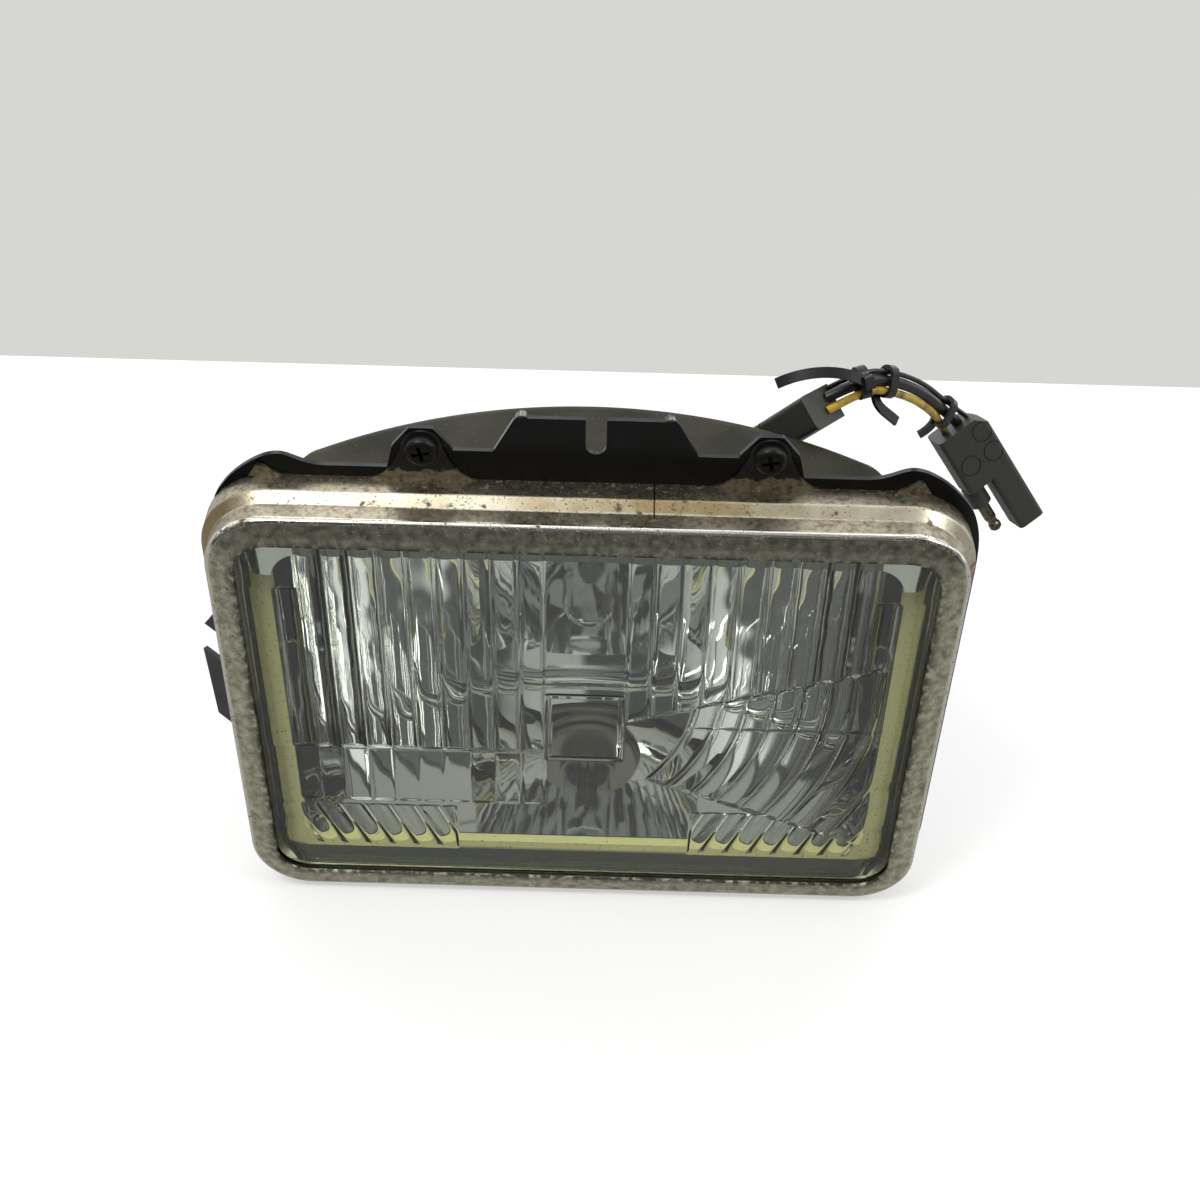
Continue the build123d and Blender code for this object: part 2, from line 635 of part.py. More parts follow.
shifted = Location((FRAME_SHIFT, 0, 0))
frame_tags = [frame_ear(centre) for centre in EAR_PLACES] + [top_tab().moved(shifted)]
frame_plate = frame_plate_outline().moved(shifted)
tab_top = RING_TOP + TAB_TOP
slot_end = tab_top - SLOT_DEPTH
seat_depth = FRAME_FRONT - FLANGE_BACK
side_root = RING_SIDE - SIDE_TAB_ROOT
side_plane = Plane(
    origin=(-side_root, FRAME_FRONT, 0),
    x_dir=(-cos(radians(SIDE_TAB_SWEEP)), sin(radians(SIDE_TAB_SWEEP)), 0),
    z_dir=(-sin(radians(SIDE_TAB_SWEEP)), -cos(radians(SIDE_TAB_SWEEP)), 0),
)

with BuildPart() as mounting_frame:
    with BuildSketch(face_plane(FRAME_FRONT)):
        add(frame_plate)
        add(frame_tags)
        for centre in EAR_PLACES:
            with Locations((centre, SCREW_LEVEL)):
                Circle(SCREW_RADIUS + 2 * SCREW_CLEARANCE, mode=Mode.SUBTRACT)
        # round-ended slot, open at the tab's top
        with Locations((FRAME_SHIFT, slot_end + SLOT_WIDTH / 2)):
            Circle(SLOT_WIDTH / 2, mode=Mode.SUBTRACT)
        with Locations((FRAME_SHIFT, (slot_end + SLOT_WIDTH / 2 + tab_top + OVERLAP) / 2)):
            Rectangle(SLOT_WIDTH, tab_top + OVERLAP - slot_end - SLOT_WIDTH / 2, mode=Mode.SUBTRACT)
    extrude(amount=-FRAME_SHEET)
    # seat wall that carries the reflector's flange
    with BuildSketch(face_plane(FLANGE_BACK)):
        add(lens_outline(FRAME_INSET - FRAME_SHEET))
    extrude(amount=-seat_depth)
    with BuildSketch(face_plane(FLANGE_BACK)):
        add(lens_outline(FRAME_INSET))
    extrude(amount=-(seat_depth + FRAME_SHEET), mode=Mode.SUBTRACT)
    # rounded ends of the folded rim on the top tab
    bump_height = tab_top - TAB_ROUND / 2
    bump_side = TAB_TOP_WIDTH / 2 - TAB_ROUND
    with BuildSketch(face_plane(FRAME_FRONT)):
        with Locations((FRAME_SHIFT - bump_side, bump_height), (FRAME_SHIFT + bump_side, bump_height)):
            Circle(TAB_ROUND)
    extrude(amount=-(FRAME_SHEET + TAB_ROUND / 2))
    # swept side tab with its open slot for the horizontal aim screw; its sketch's y points down
    slot_low = SIDE_SLOT_HEIGHT - SIDE_SLOT_WIDTH / 2
    slot_high = SIDE_SLOT_HEIGHT + SIDE_SLOT_WIDTH / 2
    with BuildSketch(side_plane):
        with BuildLine():
            Polyline(
                (0, -SIDE_TAB_LOW), (SIDE_TAB_REACH - SIDE_TAB_TAPER, -SIDE_TAB_LOW),
                (SIDE_TAB_REACH, -slot_low), (SIDE_SLOT_ROOT, -slot_low), (SIDE_SLOT_ROOT, -slot_high),
                (SIDE_PRONG_REACH, -slot_high), (SIDE_PRONG_TOP, -slot_high - SIDE_PRONG_RISE),
                (0, -SIDE_TAB_HIGH), close=True,
            )
        make_face()
    extrude(amount=-FRAME_SHEET)
    # lower pivot lug lies on the floor behind the plate, stiffened by its turned-up sides
    with BuildSketch(Plane.XY):
        with BuildLine():
            FilletPolyline(
                (-LUG_FOOT_WIDTH / 2, FRAME_FRONT), (LUG_FOOT_WIDTH / 2, FRAME_FRONT),
                (LUG_FOOT_WIDTH / 2, LUG_HOLE_DEPTH - LUG_FOOT_ROUND), (LUG_FOOT_ROUND, LUG_FOOT_END),
                (-LUG_FOOT_ROUND, LUG_FOOT_END), (-LUG_FOOT_WIDTH / 2, LUG_HOLE_DEPTH - LUG_FOOT_ROUND),
                close=True, radius=[0, 0, LUG_FOOT_ROUND, LUG_END_ROUND, LUG_END_ROUND, LUG_FOOT_ROUND],
            )
        make_face()
        with Locations((0, LUG_HOLE_DEPTH)):
            Circle(LUG_HOLE_RADIUS, mode=Mode.SUBTRACT)
    extrude(amount=FRAME_SHEET)
    for side in (0, 1):
        with BuildSketch(Plane.YZ.offset(side * (LUG_FOOT_WIDTH - FRAME_SHEET) - LUG_FOOT_WIDTH / 2)):
            with BuildLine():
                Polyline(
                    (FRAME_FRONT, 0), (LUG_GUSSET_END, 0), (LUG_GUSSET_END, LUG_GUSSET_TIP),
                    (FRAME_BACK, LUG_GUSSET_HEIGHT), (FRAME_FRONT, LUG_GUSSET_HEIGHT), close=True,
                )
            make_face()
        extrude(amount=FRAME_SHEET)
finish(mounting_frame, "mounting_frame")


# ---- Ring screws: pan heads with a cross recess ----
screw_places = [(centre, SCREW_LEVEL) for centre in EAR_PLACES]

with BuildPart() as ring_screws:
    with BuildSketch(face_plane(EAR_FRONT)):
        with Locations(*screw_places):
            Circle(SCREW_HEAD_RADIUS)
    extrude(amount=SCREW_HEAD_HEIGHT)
    fillet(ring_screws.faces().filter_by(Axis.Y).group_by(Axis.Y)[0].edges(), SCREW_HEAD_ROUND)
    with BuildSketch(face_plane(EAR_FRONT)):
        with Locations(*screw_places):
            Circle(SCREW_RADIUS)
    extrude(amount=-SCREW_LENGTH)
    chamfer(ring_screws.faces().filter_by(Axis.Y).group_by(Axis.Y)[-1].edges(), SCREW_POINT)
    with BuildSketch(face_plane(EAR_FRONT - SCREW_HEAD_HEIGHT)):
        with Locations(*screw_places):
            Rectangle(RECESS_SPAN, RECESS_WIDTH, rotation=RECESS_TURN)
            Rectangle(RECESS_WIDTH, RECESS_SPAN, rotation=RECESS_TURN)
    extrude(amount=-RECESS_DEPTH, taper=RECESS_TAPER, mode=Mode.SUBTRACT)
finish(ring_screws, "ring_screws")


# ---- Sheet nuts behind the frame's ears, each with a threaded barrel ----
with BuildPart() as sheet_nuts:
    with BuildSketch(face_plane(FRAME_BACK)):
        with Locations(*screw_places):
            RectangleRounded(NUT_WIDTH, NUT_HEIGHT, NUT_SHEET)
    extrude(amount=-NUT_SHEET)
    with BuildSketch(face_plane(FRAME_BACK)):
        with Locations(*screw_places):
            Circle(NUT_BARREL_RADIUS)
    extrude(amount=-(NUT_SHEET + NUT_BARREL_LENGTH))
    with BuildSketch(face_plane(FRAME_BACK)):
        with Locations(*screw_places):
            Circle(SCREW_RADIUS)
    extrude(amount=-(NUT_SHEET + NUT_BARREL_LENGTH), mode=Mode.SUBTRACT)
finish(sheet_nuts, "sheet_nuts")


# ---- Bulb holder: seat plate on the collar, with the clip's hinge barrels and catches ----
FLANGE_REAR = BULB_SEAT + BULB_FLANGE_SHEET
pivot_depth = FLANGE_REAR + CLIP_STAND_OFF + CLIP_WIRE
pivot_height = MID_HEIGHT - CLIP_PIVOT_DROP
barrel_radius = pivot_depth - BULB_SEAT + HINGE_SINK
catch_inner = CLIP_HALF_WIDTH + CLIP_WIRE + CLIP_STAND_OFF
hinge_places = [-HINGE_SPACING / 2 - HINGE_LENGTH / 2, HINGE_SPACING / 2 - HINGE_LENGTH / 2]

with BuildPart() as bulb_holder:
    with BuildSketch(face_plane(COLLAR_END)):
        Circle(HOLDER_RADIUS)
        Circle(bulb_hole, mode=Mode.SUBTRACT)
    extrude(amount=-HOLDER_SHEET)
    for place in hinge_places:
        with BuildSketch(Plane.YZ.offset(place)):
            with Locations((pivot_depth, pivot_height)):
                Circle(barrel_radius)
        extrude(amount=HINGE_LENGTH)
    with BuildSketch(Plane.YZ.offset(-HINGE_SPACING)):
        with Locations((pivot_depth, pivot_height)):
            Circle(CLIP_WIRE + CLIP_BEARING_GAP)
    extrude(amount=2 * HINGE_SPACING, mode=Mode.SUBTRACT)
    # catches beside the wire's legs, each with a lip turned outwards
    for side in (-1, 1):
        with BuildSketch(Plane.XY.offset(MID_HEIGHT + CATCH_HEIGHT)):
            with BuildLine():
                Polyline(
                    (side * catch_inner, COLLAR_END), (side * catch_inner, pivot_depth + CATCH_REACH),
                    (side * (catch_inner + CATCH_LIP), pivot_depth + CATCH_REACH),
                    (side * (catch_inner + CATCH_LIP), pivot_depth + CATCH_REACH - HOLDER_SHEET),
                    (side * (catch_inner + HOLDER_SHEET), pivot_depth + CATCH_REACH - HOLDER_SHEET),
                    (side * (catch_inner + HOLDER_SHEET), COLLAR_END), close=True,
                )
            make_face()
        extrude(amount=CATCH_WIDTH)
finish(bulb_holder, "bulb_holder")


# ---- Bulb clip: spring wire, two legs that press the bulb's flange on its seat ----
tip_height = MID_HEIGHT + CLIP_TIP_RISE
with BuildPart() as bulb_clip:
    with BuildLine() as clip_path:
        FilletPolyline(
            (-CLIP_HALF_WIDTH, pivot_depth + CLIP_TIP_LENGTH, tip_height + CLIP_TIP_LIFT),
            (-CLIP_HALF_WIDTH, pivot_depth, tip_height),
            (-CLIP_HALF_WIDTH, pivot_depth, pivot_height),
            (CLIP_HALF_WIDTH, pivot_depth, pivot_height),
            (CLIP_HALF_WIDTH, pivot_depth, tip_height),
            (CLIP_HALF_WIDTH, pivot_depth + CLIP_TIP_LENGTH, tip_height + CLIP_TIP_LIFT),
            radius=CLIP_BEND,
        )
    with BuildSketch(Plane(origin=clip_path.line @ 0, z_dir=clip_path.line % 0)):
        Circle(CLIP_WIRE)
    sweep(path=clip_path.line)
finish(bulb_clip, "bulb_clip")


# ---- Bulb: base with three locating tabs, glass, filaments, shield, insulator and blades ----
with BuildPart() as bulb_base:
    with BuildSketch(face_plane(BULB_SEAT)):
        Circle(BULB_FLANGE_RADIUS)
        with PolarLocations(0, 3, start_angle=90):
            with Locations((BULB_FLANGE_RADIUS - BULB_TAB_ROOT, 0)):
                Rectangle(2 * (BULB_TAB_RADIUS - BULB_FLANGE_RADIUS + BULB_TAB_ROOT), BULB_TAB_WIDTH)
    extrude(amount=-BULB_FLANGE_SHEET)
    with BuildSketch(face_plane(BULB_SEAT)):
        Circle(BULB_BARREL_RADIUS)
    extrude(amount=BULB_BARREL_LENGTH)
    fillet(bulb_base.faces().filter_by(Axis.Y).sort_by(Axis.Y)[0].edges(), BULB_BARREL_ROUND)
    with BuildSketch(face_plane(BULB_SEAT - BULB_BARREL_LENGTH)):
        Circle(GLASS_RADIUS + BULB_NECK_WALL)
    extrude(amount=BULB_NECK)
    with BuildSketch(face_plane(BULB_SEAT - BULB_BARREL_LENGTH - BULB_NECK)):
        Circle(GLASS_RADIUS)
    extrude(amount=-BULB_NECK, mode=Mode.SUBTRACT)
    with BuildSketch(face_plane(FLANGE_REAR)):
        Circle(BULB_SHELL_RADIUS)
    extrude(amount=-BULB_SHELL_LENGTH)
finish(bulb_base, "bulb_base")

glass_end = BULB_SEAT - BULB_BARREL_LENGTH
glass_tip = BULB_SEAT - GLASS_LENGTH
bulb_axis = Axis((0, 0, MID_HEIGHT), (0, 1, 0))
axis_plane = Plane(origin=(0, 0, MID_HEIGHT), x_dir=(0, 1, 0), z_dir=(1, 0, 0))

with BuildPart() as bulb_glass:
    with BuildSketch(axis_plane):
        with BuildLine():
            outer = CenterArc((glass_tip + GLASS_RADIUS, 0), GLASS_RADIUS, 90, 90)
            Line((glass_end, GLASS_RADIUS), outer @ 0)
            inner_radius = GLASS_RADIUS - GLASS_WALL
            inner = CenterArc((glass_tip + GLASS_RADIUS, 0), inner_radius, 90, 90)
            Line((glass_end, inner_radius), inner @ 0)
            Line((glass_end, GLASS_RADIUS), (glass_end, inner_radius))
            Line(outer @ 1, inner @ 1)
        make_face()
    revolve(axis=bulb_axis)
finish(bulb_glass, "bulb_glass")


with BuildPart() as filaments:
    # two coils along the bulb's axis, the dipped one in front of the main one, on a common pair of legs
    for distance in (HIGH_FILAMENT, LOW_FILAMENT):
        with BuildSketch(face_plane(BULB_SEAT - distance - FILAMENT_LENGTH / 2)):
            with Locations((0, 0 if distance == HIGH_FILAMENT else FILAMENT_RADIUS)):
                Circle(FILAMENT_RADIUS)
        extrude(amount=-FILAMENT_LENGTH)
    with BuildSketch(face_plane(BULB_SEAT - LOW_FILAMENT - FILAMENT_LENGTH / 2)):
        with Locations((-SUPPORT_OFFSET, 0), (SUPPORT_OFFSET, 0)):
            Circle(SUPPORT_RADIUS)
    extrude(amount=-(glass_end - (BULB_SEAT - LOW_FILAMENT - FILAMENT_LENGTH / 2)))
    for distance in (HIGH_FILAMENT, LOW_FILAMENT):
        with BuildSketch(face_plane(BULB_SEAT - distance - SUPPORT_RADIUS)):
            Rectangle(2 * SUPPORT_OFFSET, 2 * SUPPORT_RADIUS)
        extrude(amount=-2 * SUPPORT_RADIUS)
finish(filaments, "filaments")

with BuildPart() as filament_shield:
    # half cup under the dipped filament, and the post that carries it
    with BuildSketch(face_plane(BULB_SEAT - LOW_FILAMENT - SHIELD_LENGTH / 2)):
        Circle(SHIELD_RADIUS)
        Circle(SHIELD_RADIUS - SHIELD_SHEET, mode=Mode.SUBTRACT)
        with Locations((0, SHIELD_RADIUS)):
            Rectangle(2 * SHIELD_RADIUS, 2 * SHIELD_RADIUS, mode=Mode.SUBTRACT)
    extrude(amount=-SHIELD_LENGTH)
    with BuildSketch(face_plane(BULB_SEAT - LOW_FILAMENT)):
        with Locations((0, -SHIELD_RADIUS - SUPPORT_RADIUS / 2)):
            Circle(SUPPORT_RADIUS)
    extrude(amount=-(glass_end - BULB_SEAT + LOW_FILAMENT))
finish(filament_shield, "filament_shield")

SHELL_END = FLANGE_REAR + BULB_SHELL_LENGTH
BLADE_START = SHELL_END + INSULATOR_LENGTH


def blade_outline():
    """The three blades: one on each side, one across the top."""
    with BuildSketch() as outline:
        with Locations((-BLADE_OFFSET, 0), (BLADE_OFFSET, 0)):
            Rectangle(BLADE_SHEET, BLADE_WIDTH)
        with Locations((0, BLADE_OFFSET)):
            Rectangle(BLADE_WIDTH, BLADE_SHEET)
    return outline.sketch


with BuildPart() as bulb_insulator:
    with BuildSketch(face_plane(SHELL_END)):
        Circle(INSULATOR_RADIUS)
    extrude(amount=-INSULATOR_LENGTH)
    chamfer(bulb_insulator.faces().sort_by(Axis.Y)[-1].edges(), INSULATOR_CHAMFER)
finish(bulb_insulator, "bulb_insulator")

with BuildPart() as bulb_terminals:
    with BuildSketch(face_plane(BLADE_START)):
        add(blade_outline())
    extrude(amount=-BLADE_LENGTH)
finish(bulb_terminals, "bulb_terminals")


# ---- Bulb plug with its boot ----
plug_front = BLADE_START + PLUG_WALL_GAP
plug_rear = plug_front + PLUG_LENGTH
with BuildPart() as bulb_plug:
    with BuildSketch(face_plane(plug_front)):
        RectangleRounded(PLUG_WIDTH, PLUG_HEIGHT, PLUG_CORNER)
    extrude(amount=-PLUG_LENGTH)
    fillet(bulb_plug.faces().sort_by(Axis.Y)[-1].edges(), PLUG_CORNER / 2)
    # grip ribs on the two sides
    with BuildSketch(face_plane(plug_front)):
        with GridLocations(PLUG_WIDTH, PLUG_RIB_PITCH, 2, PLUG_RIBS):
            Rectangle(2 * PLUG_RIB, PLUG_RIB)
    extrude(amount=-(PLUG_LENGTH - PLUG_CORNER))
    with BuildSketch(face_plane(plug_front)):
        add(blade_outline())
    extrude(amount=-(BLADE_LENGTH - PLUG_WALL_GAP), mode=Mode.SUBTRACT)
finish(bulb_plug, "bulb_plug")

with BuildPart() as plug_boot:
    with BuildSketch(face_plane(plug_rear)):
        Circle(BOOT_FOOT_RADIUS)
    with BuildSketch(face_plane(plug_rear + BOOT_LENGTH)):
        Circle(LEAD_RADIUS + BOOT_WALL)
    loft()
    for ring in range(BOOT_RINGS):
        with BuildSketch(face_plane(plug_rear + (ring + 1) * BOOT_RING_PITCH)):
            Circle(BOOT_FOOT_RADIUS - BOOT_RING_STEP * ring)
        extrude(amount=-BOOT_RING_WIDTH)
    with BuildSketch(face_plane(plug_rear + BOOT_LENGTH - BOOT_GRIP)):
        Circle(LEAD_RADIUS)
    extrude(amount=-BOOT_GRIP, mode=Mode.SUBTRACT)
finish(plug_boot, "plug_boot")


# ---- Flat two-pole connectors ----
def across_plane(base, distance, offset=0.0, lift=0.0):
    """Plane square to a connector's length, at a distance from its wire end."""
    shifted = base.origin + base.z_dir * distance + base.x_dir * offset + base.y_dir * lift
    return Plane(origin=shifted, x_dir=base.x_dir, z_dir=base.z_dir)


def disc_plane(base):
    """Plane on a connector's broad face; its y runs towards the wire end."""
    surface = base.origin + base.y_dir * (CONNECTOR_THICKNESS / 2)
    return Plane(origin=surface, x_dir=base.x_dir, z_dir=base.y_dir)


def corner_cut(size):
    """Diamond on a connector's corner, to cut a chamfer of this size."""
    with BuildSketch() as diamond:
        with Locations((CONNECTOR_WIDTH / 2, 0)):
            Rectangle(size * sqrt(2), size * sqrt(2), rotation=45)
    return diamond.sketch


lower = Plane(origin=LOWER_ORIGIN, x_dir=LOWER_ACROSS, z_dir=LOWER_AIM)
upper = Plane(origin=UPPER_ORIGIN, x_dir=UPPER_ACROSS, z_dir=UPPER_AIM)
arm_offset = (CONNECTOR_WIDTH - CONNECTOR_ARM_WIDTH) / 2
pin_offset = arm_offset - POLE_SPACING
socket_radius = PIN_RADIUS + SOCKET_CLEARANCE

with BuildPart() as connector_lower:
    with BuildSketch(lower):
        RectangleRounded(CONNECTOR_WIDTH, CONNECTOR_THICKNESS, CONNECTOR_ROUND)
    extrude(amount=CONNECTOR_BODY)
    with BuildSketch(disc_plane(lower)):
        add(corner_cut(CONNECTOR_CHAMFER))
    extrude(amount=-CONNECTOR_THICKNESS, mode=Mode.SUBTRACT)
    with BuildSketch(across_plane(lower, CONNECTOR_BODY, arm_offset)):
        RectangleRounded(CONNECTOR_ARM_WIDTH, CONNECTOR_THICKNESS, CONNECTOR_ROUND)
    extrude(amount=CONNECTOR_LENGTH - CONNECTOR_BODY)
    with BuildSketch(across_plane(lower, CONNECTOR_BODY, pin_offset)):
        Circle(BOOT_RADIUS)
    extrude(amount=BOOT_END - CONNECTOR_BODY)
    with BuildSketch(across_plane(lower, CONNECTOR_LENGTH, arm_offset)):
        Circle(socket_radius + SOCKET_SHEET)
    extrude(amount=-SOCKET_DEPTH, mode=Mode.SUBTRACT)
    with BuildSketch(across_plane(lower, CONNECTOR_BODY, pin_offset)):
        Circle(PIN_NECK_RADIUS)
    extrude(amount=BOOT_END - CONNECTOR_BODY, mode=Mode.SUBTRACT)
    with BuildSketch(disc_plane(lower)):
        with Locations(*DISC_PLACES):
            Circle(DISC_RADIUS)
            Circle(DISC_RADIUS - DISC_LINE, mode=Mode.SUBTRACT)
    extrude(amount=-DISC_DEPTH, mode=Mode.SUBTRACT)
finish(connector_lower, "connector_lower")

pin_axis = Axis(across_plane(lower, 0, pin_offset).origin, lower.z_dir)
neck = PIN_END - PIN_TIP
shoulder = BOOT_END + PIN_SHOULDER
with BuildPart() as bullet_pin:
    with BuildSketch(Plane(origin=pin_axis.position, x_dir=lower.z_dir, z_dir=lower.x_dir)):
        with BuildLine():
            Polyline(
                (CONNECTOR_BODY, 0), (CONNECTOR_BODY, PIN_NECK_RADIUS), (shoulder, PIN_NECK_RADIUS),
                (shoulder, PIN_RADIUS), (neck - PIN_TAPER, PIN_RADIUS), (neck, PIN_NECK_RADIUS),
                (neck + PIN_GROOVE, PIN_NECK_RADIUS), (neck + PIN_GROOVE + PIN_TAPER, PIN_RADIUS),
                (PIN_END - PIN_TAPER, PIN_RADIUS), (PIN_END, PIN_POINT_RADIUS), (PIN_END, 0), close=True,
            )
        make_face()
    revolve(axis=pin_axis)
finish(bullet_pin, "bullet_pin")

with BuildPart() as socket_contact:
    with BuildSketch(across_plane(lower, CONNECTOR_LENGTH - SOCKET_INSET, arm_offset)):
        Circle(socket_radius + SOCKET_SHEET)
        Circle(socket_radius, mode=Mode.SUBTRACT)
    extrude(amount=-(SOCKET_DEPTH - SOCKET_INSET))
finish(socket_contact, "socket_contact")

core_round = CONNECTOR_ROUND - GROOVE_DEPTH
with BuildSketch() as groove_inside:
    RectangleRounded(CONNECTOR_WIDTH - 2 * GROOVE_DEPTH, CONNECTOR_THICKNESS - 2 * GROOVE_DEPTH, core_round)
groove_core = groove_inside.sketch

with BuildPart() as connector_upper:
    with BuildSketch(upper):
        RectangleRounded(CONNECTOR_WIDTH, CONNECTOR_THICKNESS, CONNECTOR_ROUND)
    extrude(amount=UPPER_LENGTH)
    with BuildSketch(disc_plane(upper)):
        add(corner_cut(UPPER_CHAMFER))
    extrude(amount=-CONNECTOR_THICKNESS, mode=Mode.SUBTRACT)
    # parting groove between the mated halves
    with BuildSketch(across_plane(upper, GROOVE_PLACE)):
        RectangleRounded(CONNECTOR_WIDTH, CONNECTOR_THICKNESS, CONNECTOR_ROUND)
        add(groove_core, mode=Mode.SUBTRACT)
    extrude(amount=GROOVE_WIDTH, mode=Mode.SUBTRACT)
finish(connector_upper, "connector_upper")


# ---- Wires: straight runs joined by arcs as large as the runs allow ----
def wire_path(points):
    """Path through the points, each corner rounded by 0.45 of its shorter run."""
    corners = [Vector(*point) for point in points]
    radii = []
    for before, corner, after in zip(corners, corners[1:], corners[2:]):
        run_in = corner - before
        run_out = after - corner
        half_turn = radians(run_in.get_angle(run_out)) / 2
        radii.append(0.45 * min(run_in.length, run_out.length) / tan(half_turn))
    print("arc radii", [round(radius, 1) for radius in radii])
    with BuildLine() as route:
        FilletPolyline(*corners, radius=radii)
    return route.wire()


def tube(route, radius):
    """Round wire along its route."""
    with BuildPart() as wire:
        with BuildSketch(Plane(origin=route @ 0, z_dir=route % 0)):
            Circle(radius)
        sweep(path=route)
    print("volume over section times length", round(wire.part.volume / (pi * radius ** 2 * route.length), 4))
    return wire


LEAD_ROUTE = [
    (0.0, plug_rear + BOOT_LENGTH - BOOT_GRIP, MID_HEIGHT), (0.5, 161.0, 73.0), (4.0, 172.0, 57.5),
    (18.0, 174.0, 42.5), (37.0, 163.0, 38.5), (49.0, 145.0, 48.5), (54.0, 125.0, 66.0), (56.5, 106.0, 90.0),
    tuple(upper.origin + upper.z_dir * UPPER_LENGTH),
]
YELLOW_ROUTE = [
    tuple(upper.origin + upper.x_dir * -1.5 + upper.y_dir * 1.8), (80.6, 77.6, 146.9), (90.0, 84.7, 141.7),
    (100.1, 91.5, 133.6), (108.5, 96.3, 124.0), tuple(lower.origin + lower.x_dir * -4.0),
]
BLACK_ROUTE = [
    tuple(upper.origin + upper.x_dir * 0.8 + upper.y_dir * -1.8), (80.0, 79.0, 149.6), (90.5, 86.5, 144.3),
    (101.0, 93.5, 135.8), (109.5, 98.5, 126.0), tuple(lower.origin + lower.x_dir * 1.0),
]
THIN_ROUTE = [
    tuple(upper.origin + upper.x_dir * 3.2 + upper.y_dir * -4.2), (79.5, 80.2, 152.0), (90.9, 88.0, 146.5),
    (101.8, 95.2, 137.7), (110.4, 100.3, 127.8), tuple(lower.origin + lower.x_dir * 4.6),
]

yellow_path = wire_path(YELLOW_ROUTE)
black_path = wire_path(BLACK_ROUTE)
thin_path = wire_path(THIN_ROUTE)
rear_lead = tube(wire_path(LEAD_ROUTE), LEAD_RADIUS)
finish(rear_lead, "rear_lead")
yellow_wire = tube(yellow_path, YELLOW_RADIUS)
finish(yellow_wire, "yellow_wire")
black_wire = tube(black_path, BLACK_RADIUS)
finish(black_wire, "black_wire")
thin_wire = tube(thin_path, THIN_RADIUS)
finish(thin_wire, "thin_wire")


# ---- Cable ties: flat bands round the three wires, each with its head and cut or loose tail ----
def crossing(path, middle, along):
    """Point of a path nearest to the plane through the middle, square to the bundle."""
    places = [path @ (step / TIE_SEARCH) for step in range(TIE_SEARCH + 1)]
    return min(places, key=lambda place: abs((place - middle).dot(along)))


def tie_plane(share):
    """Plane square to the bundle at a share of the black wire; x runs from the yellow to the thin wire."""
    middle = black_path @ share
    along = black_path % share
    first = crossing(yellow_path, middle, along)
    last = crossing(thin_path, middle, along)
    return Plane(origin=(first + last) / 2, x_dir=last - first, z_dir=along), (last - first).length


TIE_TAILS = [
    (0.17, 1, [(72.0, 76.3, 153.4), (66.0, 76.2, 153.4), (54.3, 77.0, 148.6)]),
    (0.34, -1, [(86.5, 81.0, 138.6), (89.5, 81.5, 135.4), (92.6, 82.0, 132.4)]),
    (0.84, -1, [(105.5, 96.5, 119.4), (104.4, 96.3, 118.4), (103.0, 96.0, 117.4)]),
]

with BuildPart() as cable_ties:
    for share, side, tail in TIE_TAILS:
        band, spread = tie_plane(share)
        inner = spread + YELLOW_RADIUS + THIN_RADIUS + 2 * TIE_SLACK
        height = 2 * (BLACK_RADIUS + TIE_SLACK)
        start = band.offset(-TIE_WIDTH / 2)
        with BuildSketch(start):
            SlotOverall(inner + 2 * TIE_SHEET, height + 2 * TIE_SHEET)
            SlotOverall(inner, height, mode=Mode.SUBTRACT)
        extrude(amount=TIE_WIDTH)
        head_lift = side * (height + TIE_SHEET + TIE_HEAD_HEIGHT) / 2
        with BuildSketch(start):
            with Locations((0, head_lift)):
                RectangleRounded(TIE_HEAD_LENGTH, TIE_HEAD_HEIGHT, TIE_SHEET / 2)
        extrude(amount=TIE_WIDTH)
        head = band.origin + band.y_dir * head_lift
        with BuildLine() as tail_line:
            Spline(head, *tail)
        with BuildSketch(Plane(origin=head, x_dir=band.z_dir, z_dir=tail_line.line % 0)):
            Rectangle(TIE_WIDTH, TIE_SHEET)
        sweep(path=tail_line.wire())
finish(cable_ties, "cable_ties")
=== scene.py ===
import math

import bmesh
import bpy
import numpy as np
from mathutils import Matrix, Vector


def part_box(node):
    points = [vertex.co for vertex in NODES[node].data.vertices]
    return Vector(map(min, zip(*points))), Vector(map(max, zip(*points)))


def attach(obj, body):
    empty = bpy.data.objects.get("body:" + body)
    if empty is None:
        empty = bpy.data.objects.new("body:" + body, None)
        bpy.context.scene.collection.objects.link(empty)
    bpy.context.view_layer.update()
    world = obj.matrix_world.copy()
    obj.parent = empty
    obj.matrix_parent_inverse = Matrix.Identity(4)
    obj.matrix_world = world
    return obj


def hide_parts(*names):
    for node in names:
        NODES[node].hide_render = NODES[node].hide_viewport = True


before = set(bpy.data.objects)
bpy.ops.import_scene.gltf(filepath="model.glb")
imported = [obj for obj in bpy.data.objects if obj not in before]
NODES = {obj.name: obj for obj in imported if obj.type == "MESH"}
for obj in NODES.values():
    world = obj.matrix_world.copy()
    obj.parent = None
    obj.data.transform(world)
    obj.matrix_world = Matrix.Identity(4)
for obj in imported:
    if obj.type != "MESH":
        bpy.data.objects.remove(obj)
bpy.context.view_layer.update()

# A rectangular halogen headlamp insert: prism lens in a bright ring, black mounting frame,
# painted reflector with a mirrored inside, bulb with its clip and plug, and a short harness.
# Metres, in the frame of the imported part. The lamp looks along -Y, and X is to its right in view.

MM = 0.001

